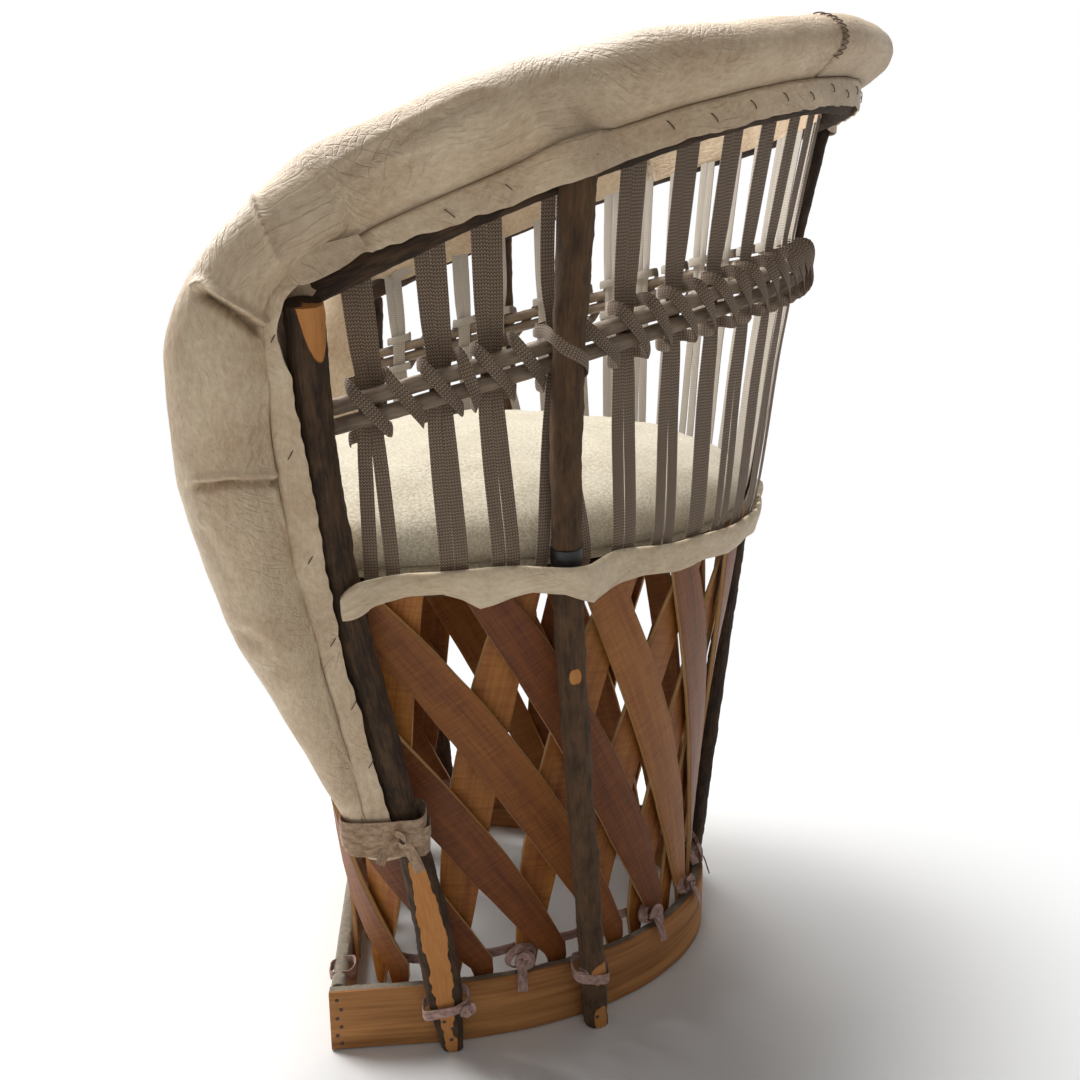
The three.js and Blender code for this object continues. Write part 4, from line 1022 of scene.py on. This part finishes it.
def rim_band():
    rings, lays = [], []
    reach = 0.0
    before = None
    for share in np.linspace(-band_end, band_end, 420):
        place, out, onward = seat_path.at(share)
        offset = round_posts(place, onward, out, 9.4)
        low = float(np.interp(place[1], *zip(*(hem_left if share > 0 else hem_right))))
        flare = (409 - low) * 0.22 + noise.noise(Vector((share * 60, 0, 0))) * 1.0
        end = min(max((abs(share) - 0.296) / 0.009, 0.0), 1.0)
        low -= 7 * end * (1.6 - end)
        high = 429.5 + noise.noise(Vector((share * 24, 5, 0))) * 3.2 - 9 * end ** 3
        if before is not None:
            reach += float(np.linalg.norm(place - before))
        before = place
        ring, lay = [], []
        for aside, up in band_section:
            z = low + (high - low) * up
            swell = noise.noise(Vector((share * 45, up * 1.5, 7))) * 2.4
            swell += noise.noise(Vector((share * 120 + up * 2.5, up * 0.8, 3))) * 1.3
            away = offset + side_slope * (z - band_z) + aside
            away += max(0.0, swell) + max(0.0, flare) * (1 - up) ** 2
            ring.append(place + out * away + [0, 0, z])
            lay.append((reach, up * 26 + aside, aside))
        rings.append(ring)
        lays.append(lay)
    return skin(rings, lays)


piece("seat_rim_leather", [rim_band()], trim_leather, ["seat_rim_band"], sharp=60)


# Arm leather: one hide over the hoop and down in front of the posts. In the section, out is away from
# the sitter and up is away from the stick. A row holds the roll's middle, the stick's middle, half the
# roll's width and depth, its outward shift, the hem's free edge, seam and outward place, and the height and
# outward place of the inner edge. In front, a row starts from how far forward, how high and how thick it is.
front_rows = [
    (0.16, 0.991, 0.8), (1.2, 0.9455, 0.763), (1.7, 0.906, 0.949), (1.88, 0.841, 1), (1.88, 0.769, 1),
    (1.63, 0.683, 0.949), (1.27, 0.598, 0.864), (0.843, 0.533, 0.746), (0.396, 0.47, 0.627),
    (-0.086, 0.404, 0.525), (-0.514, 0.348, 0.441), (-0.693, 0.316, 0.39),
]
seam_by_height = [
    (205, 21), (234, 25), (251, 24.3), (308, 21.3), (373, 22), (443, 24.6), (506, 24), (565, 22.5),
    (619, 18.6),
]
edge_by_height = [(205, 6.4), (325, 6.4), (408, 6.4), (448, 5), (511, 4.4), (542, 7.3), (590, 9.0), (610, 7)]
roll_points = 84
roll_clear = 16.5
arm_depth = 24
back_depth = 17.3
post_bulge_reach = 34
hoop_mean_radius = 335


def arm_rows():
    """Rows along the hide: down from the left knee's end, round arms and back, and down to the right one."""
    arm = []
    for angle in np.linspace(1.655, -1.655, 61):
        held, _ = on_rim(hoop, angle)
        step = unit(on_rim(hoop, angle - 0.01)[0] - on_rim(hoop, angle + 0.01)[0])
        up = unit(np.array([0, 0, 1.0]) - step[2] * step)
        bulge = 0.0
        for post_angle in post_angles:
            away = (angle - post_angle) * hoop_mean_radius
            if abs(away) < post_bulge_reach:
                bulge = max(bulge, math.cos(away / post_bulge_reach * math.pi / 2) ** 2)
        settle = max(0.0, (abs(angle) - 1.45) / 0.2)
        flat = min(max((climb_share(hoop, angle) - 0.25) / 0.5, 0.0), 1.0)
        flat = flat * flat * (3 - 2 * flat)
        depth = arm_depth + (back_depth - arm_depth) * flat
        arm.append([*(held + up * (roll_clear + depth)), *held, 28.0, depth, 5 + 3 * flat, -6 + 8 * settle,
                    12.4 + 3.5 * bulge, 14.6 + 23.5 * bulge, -9.5 + 6 * settle, -15.0])
    front = {1: [], -1: []}
    for side, rows in front.items():
        for number, (forward, height, size) in enumerate(front_rows):
            z = 649.0 * height
            held = min(z, post_top_z)
            post = at_height(front_lines[side], held)
            seam = float(np.interp(z, *zip(*seam_by_height)))
            edge = float(np.interp(z, *zip(*edge_by_height)))
            narrow = 1.0 if number else 0.92
            rows.append([post[0], post_top_y - 28 * forward, z, post[0], post[1], held, 29.5 * size * narrow,
                         29.5 * size, 4.0 if size > 0.76 else 0.0, edge, seam, 14.4, -1.0, -13.6])
    return front[1][::-1] + arm + front[-1]


def arm_section(half_width, depth, shift, rise, edge, seam, hem_out, inner_edge, inner_out):
    """Closed outline of the hide from the hem's free edge, over the roll, to the inner edge and back."""
    centre = np.array([shift, rise])
    size = np.array([half_width, depth])

    def tangent(corner, way):
        toward = (corner - centre) / size
        distance = max(float(np.hypot(*toward)), 1.0003)
        return math.atan2(toward[1], toward[0]) + way * math.acos(1 / distance)

    seam_place = np.array([hem_out - 1.4, seam])
    inner_place = np.array([inner_out, max(inner_edge + 8, 7.0)])
    first = tangent(seam_place, 1)
    last = tangent(inner_place, -1)
    last += 2 * math.pi if last < 0 else 0
    ends = [np.array([math.cos(a), math.sin(a)]) for a in (first, last)]
    begin, end = (centre + size * toward for toward in ends)
    points = [(hem_out - 1.6, edge), (hem_out - 0.3, edge - 0.3), (hem_out, edge + 0.6)]
    points += [
        (hem_out + 0.25 * math.sin(s * 3), edge + (seam - 1.6 - edge) * s) for s in (0.25, 0.5, 0.75, 0.93)
    ]
    points += [(hem_out - 0.5, seam - 0.7), seam_place]
    points += [
        seam_place * (1 - s) + begin * s + ends[0] * 0.9 * math.sin(math.pi * s) for s in (0.12, 0.4, 0.7)
    ]
    points += [(centre[0] + half_width * math.cos(a), centre[1] + depth * math.sin(a))
               for a in np.linspace(first, last, roll_points)]
    points += [end * (1 - s) + inner_place * s for s in (0.3, 0.65, 1.0)]
    points += [(inner_out, inner_edge + 3), (inner_out, inner_edge), (inner_out + 1.4, inner_edge),
               (inner_out + 1.7, 4.0), (-10.5, 10.8), (-4.5, 13.0), (4.5, 13.0), (10.0, 11.6),
               (hem_out - 2.0, 9.6), (hem_out - 1.9, (edge + 8) / 2)]
    return points


def fold(points, line, depth, width, lip):
    """How far a pleat pushes each point in, from its distance to a line in the side view (y, z)."""
    line = np.asarray(line, float)
    push = np.zeros(len(points))
    best = np.full(len(points), 1e9)
    for a, b in zip(line, line[1:]):
        step = b - a
        length = float(np.hypot(*step))
        rel = points[:, 1:] - a
        share = np.clip((rel @ step) / length ** 2, 0, 1)
        away = rel - share[:, None] * step
        distance = np.hypot(away[:, 0], away[:, 1])
        side = (rel[:, 1] * step[0] - rel[:, 0] * step[1]) / length
        nearer = distance < best
        best = np.where(nearer, distance, best)
        value = -depth * np.exp(-(distance / width) ** 2)
        value += lip * np.exp(-((distance - 1.5 * width) / width) ** 2) * (side > 0)
        push = np.where(nearer, value, push)
    return push


# Pleats in the side view (y, z): the line, how deep and how wide it is, and the height of its lower lip
left_folds = [
    ([(-133, 607), (-121, 599.5), (-112, 593), (-106, 587.5)], 8.0, 2.8, 4.2),
    ([(-150, 499.6), (-130, 501.7), (-112, 500), (-105, 498)], 4.4, 2.6, 2.0),
    ([(-134, 398), (-128, 392)], 2.4, 6.0, 1.2),
    ([(-150, 470), (-140, 440)], 1.2, 5.0, 0.8),
    ([(70, 702), (80, 690), (84, 676)], 3.2, 6.0, 1.4),
    ([(60, 690), (52, 700)], 1.6, 6.0, 0.8),
    ([(-60, 668), (-20, 690), (15, 706)], 1.2, 3.4, 0.8),
    ([(-50, 660), (-15, 678)], 0.9, 3.0, 0.6),
    ([(-103, 654), (-98.8, 642), (-95.8, 632.7), (-93.6, 624.8)], -3.4, 2.1, 0.0),
]
right_folds = [
    ([(-138, 600), (-122, 597), (-106, 588)], 5.0, 4.4, 2.6),
    ([(-150, 520), (-128, 512), (-106, 508)], 3.0, 3.6, 1.5),
    ([(-136, 420), (-120, 410)], 2.0, 6.0, 1.0),
    ([(76, 700), (84, 686)], 3.0, 6.0, 1.2),
    ([(-103, 654), (-98.8, 642), (-93.6, 624.8)], -2.0, 1.9, 0.0),
]
joint_angles = (0.77, -0.77)
seam_point = 8
smooth_reach = 30
seam_threads = []


def zigzag(rings, middle, row):
    """Stitches to and fro across a joint of the roll."""
    made = []
    for k, j in enumerate(range(12, 12 + roll_points // 2, 2)):
        before, after = rings[row - 1][j], rings[row + 1][j]
        a, b = (before, rings[row + 1][j + 2]) if k % 2 else (after, rings[row - 1][j + 2])
        made.append(bar(a, b, (a + b) / 2 - middle[row], 0.8))
    return made


def arm_path():
    """Smoothed rows along the hide, close where the left knee is creased and wider elsewhere."""
    rows = through(arm_rows(), 1500)
    spread = np.exp(-np.linspace(-2.5, 2.5, 2 * smooth_reach + 1) ** 2 / 2)
    spread /= spread.sum()
    for column in range(9):
        padded = np.pad(rows[:, column], smooth_reach, "reflect", reflect_type="odd")
        rows[:, column] = np.convolve(padded, spread, "valid")
    return rows[[(i % 3 == 0) or (row[0] > 250 and row[1] < 10) for i, row in enumerate(rows)]]


def arm_leather():
    rows = arm_path()
    middle, held = rows[:, :3], rows[:, 3:6]
    reach = reaches(middle)
    rings, lays = [], []
    for i, step in enumerate(directions(middle)):
        up = middle[i] - held[i]
        up = up - np.dot(up, step) * step
        rise = float(np.linalg.norm(up))
        up = unit(up)
        out = np.cross(step, up)
        origin = middle[i] - up * rise
        half_width, depth, shift, edge, seam, hem_out, inner_edge, inner_out = rows[i, 6:]
        ragged = noise.noise(Vector((reach[i] / 11, 2.0, 0))) * 1.5
        ragged += noise.noise(Vector((reach[i] / 37, 8.0, 0))) * 1.6
        wave = noise.noise(Vector((reach[i] / 26, 5.0, 0)))
        section = arm_section(half_width, depth, shift, rise, edge + ragged, seam + wave * 0.6,
                              hem_out + max(wave, -0.2), inner_edge, inner_out)
        rings.append([origin + out * q + up * p for q, p in section])
        lays.append([(reach[i], walk, 0.0) for walk in reaches(np.array(section))])
    around = len(rings[0])
    part = np.tile(np.arange(around), len(rings))
    made = skin(rings, lays, np.select([part == seam_point, abs(part - seam_point) == 1], [0.8, 0.25], 0.0))
    points = made["points"]
    out = normals(made)
    roll_part = ((part > seam_point) & (part < 2 * seam_point + roll_points)).astype(float)
    near = points[:, 0] > 0
    push = (wobble(points, 60, 2.2, 11) + wobble(points, 22, 0.9, 12)) * roll_part
    outward = (out[:, 0] * np.sign(points[:, 0])) > -0.25
    # The deeper a pleat, the darker the colour in its valley: painted shade
    shade = np.zeros(len(points))
    for folds, here in ((left_folds, near), (right_folds, ~near)):
        for line, depth, width, lip in folds:
            pressed = fold(points, line, depth, width, lip) * here * outward * roll_part
            shade = np.maximum(shade, -pressed / 14)
            push += pressed
    # Sewn joints across the roll behind each shoulder
    along = np.repeat(reach, around)
    joints = [joint_row(middle, angle) for angle in joint_angles]
    for row in joints:
        away = along - reach[row]
        groove = -1.6 * np.exp(-(away / 1.6) ** 2) + 0.9 * np.exp(-((abs(away) - 4.0) / 2.2) ** 2)
        push += groove * roll_part
        made["wear_and_painted_light"] += 0.55 * np.exp(-(away / 1.5) ** 2) * roll_part
    # A patch of darker hide on the left back corner
    patch = ((points[:, 0] - 190) / 46) ** 2 + ((points[:, 2] - 741) / 15) ** 2
    patched = 0.2 * np.clip(4 - 4 * patch, 0, 1) * (points[:, 1] > 200) * (out[:, 1] > 0)
    made["wear_and_painted_light"] = np.clip(made["wear_and_painted_light"] + shade + patched, 0, 1)
    made["points"] = points + out * push[:, None]
    for row in joints:
        seam_threads.extend(zigzag(made["points"].reshape(-1, around, 3), middle, row))
    return made


def joint_row(middle, angle):
    """The row nearest to an angle on the hoop."""
    place = on_rim(hoop, angle, rise=40)[0]
    return int(np.argmin(np.linalg.norm(middle - place, axis=1)))


# Rows of the leaf: outward, forward, height and width
corner_leaf = [
    (354, -102, 621, 9), (359, -93, 621, 20), (360, -83, 621.5, 21), (357, -72, 624, 18), (350, -61, 628, 14),
    (344, -50, 634, 9),
]


def corner_flap(side):
    """The folded end of the arm's hem, a leaf that covers the top of the front post."""
    rows = through([[side * x, y, z, side, -0.1, 0.1, width] for x, y, z, width in corner_leaf], 22)
    # The ribbon's back, under the leaf, is marked and takes the leather's dark colour: painted shade
    return ribbon(rows[:, :6], rows[:, 6], 1.6, seed=5, across=7, cup=0.8, frayed=0.06)


hide_over_arms = piece("arm_leather", [arm_leather(), corner_flap(1), corner_flap(-1)], roll_leather,
                       ["arm_roll", "arm_flange"], sharp=70)
piece("cross_seam_threads", seam_threads, seam_thread)

# Staples through the hem, slanting, on the outside of the posts and the hoop
staple_rise = np.array([0, 0, 2.0])
staples = []
for side in (1, -1):
    for z, y in ((584, -99), (516, -97), (447, -92), (387, -83), (338, -73), (290, -64)):
        x = side * (at_height(front_lines[side], z)[0] * side + 15.2)
        staples.append(bar((x, y - 1.9, z - 3.0), (x, y + 1.7, z + 3.0), (side, 0, 0)))
    for angle in np.linspace(0.12, 1.5, 16):
        if min(abs(side * angle - post_angle) for post_angle in post_angles) < 0.1:
            continue
        place, out = on_rim(hoop, side * angle, 14.8, 3 + 2 * math.sin(angle * 40))
        slant = np.array([out[1], -out[0], 0.0]) * side * 2.6 + staple_rise
        staples.append(bar(place - slant, place + slant, out))
piece("staples", staples, steel)


# Strips: ties, laces and their knots
def round_turn(a, power):
    """Place on a rounded square of half width 1, at an angle from its middle."""
    return [math.copysign(abs(part) ** power, part) for part in (math.cos(a), math.sin(a))]


def knot(place, facing, size, width, seed):
    """A strip tied in a flat overhand knot."""
    facing = unit(facing)
    across = unit(np.cross(facing, [0, 0, 1.0]))
    up = np.cross(across, facing)
    rows = []
    for a in np.linspace(0, 2 * math.pi, 60)[:-4]:
        round_size = size * (0.62 + 0.3 * math.cos(3 * a))
        x = round_size * math.cos(2 * a + seed)
        y = round_size * math.sin(2 * a + seed)
        lift = size * 0.28 * math.sin(3 * a)
        at = place + across * x + up * y + facing * (lift + size * 0.3)
        face = facing + across * math.cos(a) * 0.6 + up * math.sin(a) * 0.6
        rows.append([*at, *face])
    return ribbon(rows, width, 1.5, seed=seed, cup=0.3)


def hanging_end(place, toward, facing, length, width, seed):
    """A loose end of a strip, curling a little as it hangs."""
    toward, facing = unit(toward), unit(facing)
    rows = []
    for s in np.linspace(0, 1, 14):
        curl = facing * (2.2 * math.sin(2.6 * s + seed) + 1.0 * s)
        sag = np.array([0, 0, -0.25 * length * s * s])
        face = facing + toward * 0.5 * math.cos(3 * s + seed)
        rows.append([*(place + toward * length * s + curl + sag), *face])
    return ribbon(rows, width, 1.4, seed=seed, frayed=0.1, cup=0.2)


def loop(centre, half_x, half_y, z, tilt, width, seed):
    """A strip wound once round a foot and the base board."""
    rows = []
    for a in np.linspace(0, 2 * math.pi, 40):
        c, s = round_turn(a, 0.6)
        out = unit([c / half_x, s / half_y, 0.0])
        lift = tilt * math.sin(a) + noise.noise(Vector((a, seed, 0))) * 1.5
        rows.append([centre[0] + half_x * c, centre[1] + half_y * s, z + lift, *out])
    return ribbon(rows, width, 1.5, seed=seed, frayed=0.12, cup=0.3)


# Suede ties round the foot of the roll and the front post
tie_low, tie_high = 209.0, 243.0


def suede_tie(side):
    low, face, high = (at_height(front_lines[side], z) for z in (tie_low, (tie_low + tie_high) / 2, tie_high))
    lean = (high - low) / (tie_high - tie_low)
    shapes = []
    for turn, (level, width, swell) in enumerate(((0, 17, 0.0), (14, 15, 0.9), (5, 14, 1.7))):
        rows = []
        for a in np.linspace(0, 2 * math.pi, 72):
            c, s = round_turn(a, 0.5)
            out = unit([c / 17.2, s / 30, 0.0])
            slant = (turn - 1) * 3.0 * math.sin(a + turn)
            place = (low + high) / 2 + [side * 1.2 + (17.0 + swell) * c, -15 + (29.8 + swell) * s, 0]
            place = place + lean * (level - 7 + slant) + out * noise.noise(Vector((a * 2, turn, side))) * 0.8
            rows.append([*place, *out])
        shapes.append(ribbon(rows, width, 1.5, seed=turn, frayed=0.12, cup=0.3))
    face = face + [side * 20.0, -4.0, 0]
    outward = (side, 0, 0)
    shapes.append(knot(face, outward, 6.6, 5.0, side))
    shapes.append(hanging_end(face + [side * 1.0, 4, -4], (0, 0.55, -1), outward, 20, 8, 3))
    shapes.append(hanging_end(face + [side * 1.0, -6, -2], (0, -0.6, -0.8), outward, 15, 7, 4))
    return shapes


for side, word in sides_of_chair:
    piece(f"{word}_suede_tie", suede_tie(side), suede, [f"suede_tie_{word}"])

# Laces: raw hide strips that tie the splints and the feet of the posts to the base
lace_z = 62
laces = []
for side in (1, -1):
    foot = at_height(front_lines[side], 46.0)
    laces.append(loop(foot + [-side * 2.0, 0, 0], 12.5, 18.5, 47.0, 5.0, 8.0, 1))
    laces.append(knot(foot + [side * 9.0, 17.0, 2.0], (side, 0.4, 0), 5.0, 6.0, 2))
    foot = at_height(side_lines[side], 53.0)
    laces.append(loop(foot + [-side * 3.0, -2.0, 0], 15.5, 15.0, 57.0, -3.0, 8.5, 3))
    laces.append(knot(foot + [side * 8.0, -9.0, 7.0], (side, -0.3, 0), 4.6, 5.5, 4))
    for angle, seed in ((1.28, 5), (0.72, 6), (0.42, 7), (0.12, 8)):
        place, out = on_bow(base, side * angle, -13.0)
        place = place + [0, 0, lace_z]
        along = np.array([out[1], -out[0], 0.0])
        rows = []
        for a in np.linspace(0, 2 * math.pi, 36):
            face = along * math.cos(a) * 0.8 + np.array([0, 0, math.sin(a)]) + out * 0.4
            ring = along * 13 * math.cos(a) + out * 5.0 * math.cos(a + 0.6) + [0, 0, 6.5 * math.sin(a)]
            rows.append([*(place + ring), *face])
        laces.append(ribbon(rows, 7.5, 1.6, seed=seed, frayed=0.1))
        laces.append(knot(place + out * 7.5 + [0, 0, 1], out + [0, 0, 0.3], 6.2, 7.5, seed))
        laces.append(hanging_end(place + out * 10.5 + along * 2, out * 0.8 + along * 0.3 - [0, 0, 1.0], out,
                                 16, 8.5, seed))
    laces.append(loop(np.array([side * 150.0, base["front"] + 8.5, 0.0]), 10.0, 10.5, 50.0, 2.0, 8.0, 9))
inner_path = Outline(foot_outline, foot_inset + layer_pitch + splint_half_thick + 0.5 + 0.9)
inner_rows = []
for share in np.linspace(0, 0.998, 220):
    place, out, _ = inner_path.at(share)
    inner_rows.append([*(place + [0, 0, lace_z + 1.5 * math.sin(share * 90)]), *out])
laces.append(ribbon(inner_rows, 8.5, 1.5, seed=12, frayed=0.1))
piece("base_laces", laces, lace_hide, ["base_lace"])

# Nails: a crooked column at each front corner, and three in each foot
nails = []
for side in (1, -1):
    x = side * (base["half"] + 0.1)
    for z, y in ((47, -106.5), (38, -103.5), (30, -107.0), (22, -104.0), (14, -107.5), (6.5, -104.5)):
        nails.append(button((x, y, z), (side, 0, 0), 1.6, 0.7))
    for z, aside in ((34, -3.0), (26, 3.0), (14, 0.5)):
        foot = at_height(front_lines[side], z)
        nails.append(button((foot[0] + side * 5.7, foot[1] + aside, z), (side, 0, 0), 1.8, 0.7))
        foot = at_height(side_lines[side], z)
        nails.append(button((foot[0] + side * 10.2, foot[1] + aside * 0.6, z), (side, 0.2, 0), 1.7, 0.8))
piece("nail_heads", nails, steel)

# Black tape round each side post, just above the rim band
wraps = []
for side in (1, -1):
    low, high = (at_height(side_lines[side], z) for z in (429.0, 441.0))
    wraps.append(stick(np.linspace(low, high, 8), side_post_radius + 1.0, (side, 0, 0), 31, 20, 0.25))
piece("black_tape_wraps", wraps, black_tape)


# Room: a pale floor that fades to white, and soft lamps
def floor():
    material = bpy.data.materials.new("floor_paint")
    material.use_nodes = True
    tree = material.node_tree
    tree.nodes.clear()
    place = add_node(tree, "NewGeometry", output="Position")
    away = add_node(tree, "VectorMath", {0: place}, operation="LENGTH")
    fade = add_node(tree, "MapRange", {"Value": away, "From Min": 0.28, "From Max": 0.66},
                    interpolation_type="SMOOTHSTEP")
    straight = add_node(tree, "LightPath", output="Is Camera Ray")
    seen = add_node(tree, "Math", {0: fade, 1: straight}, operation="MULTIPLY")
    paint = add_node(tree, "BsdfDiffuse", {"Color": (0.86, 0.86, 0.85, 1.0)})
    white = add_node(tree, "Emission", {"Color": (1, 1, 1, 1), "Strength": 1.0})
    both = add_node(tree, "MixShader", {0: seen, 1: paint, 2: white})
    add_node(tree, "OutputMaterial", {"Surface": both})
    turns = np.linspace(0, 2 * math.pi, 64, endpoint=False)
    mesh = bpy.data.meshes.new("floor")
    # Half a millimetre below the feet
    mesh.from_pydata([(12 * math.cos(a), 12 * math.sin(a), -0.0005) for a in turns], [], [tuple(range(64))])
    mesh.materials.append(material)
    made = bpy.data.objects.new("floor", mesh)
    bpy.context.scene.collection.objects.link(made)


def lamp(name, place, aim, size, watts):
    data = bpy.data.lights.new(name, "AREA")
    data.shape = "DISK"
    data.size = size
    data.energy = watts
    made = bpy.data.objects.new(name, data)
    made.location = place
    made.rotation_mode = "QUATERNION"
    made.rotation_quaternion = (Vector(aim) - Vector(place)).to_track_quat("-Z", "Y")
    bpy.context.scene.collection.objects.link(made)


def world(strength):
    made = bpy.data.worlds.new("studio")
    bpy.context.scene.world = made
    made.use_nodes = True
    tree = made.node_tree
    tree.nodes.clear()
    rays = add_node(tree, "LightPath").node.outputs
    direct = add_node(tree, "Math", {0: rays["Is Camera Ray"], 1: rays["Is Glossy Ray"]}, operation="MAXIMUM")
    seen = add_node(tree, "Math", {0: direct, 1: rays["Is Transmission Ray"]}, operation="MAXIMUM")
    level = add_node(tree, "MapRange", {"Value": seen, "To Min": strength, "To Max": 1.0})
    sky = add_node(tree, "Background", {"Color": (1, 1, 1, 1), "Strength": level})
    tree.links.new(sky, tree.nodes.new("ShaderNodeOutputWorld").inputs["Surface"])


floor()
world(0.18)
lamp("window_front_left", (-1.1, -2.0, 2.2), (0, 0, 0.5), 1.5, 84)
lamp("softbox_above", (-0.8, -0.2, 2.8), (0, 0, 0.5), 1.8, 84)
lamp("fill_beside_camera", (2.5, 0.3, 1.5), (0, 0, 0.4), 2.0, 5)

bpy.context.scene.view_settings.view_transform = "Standard"
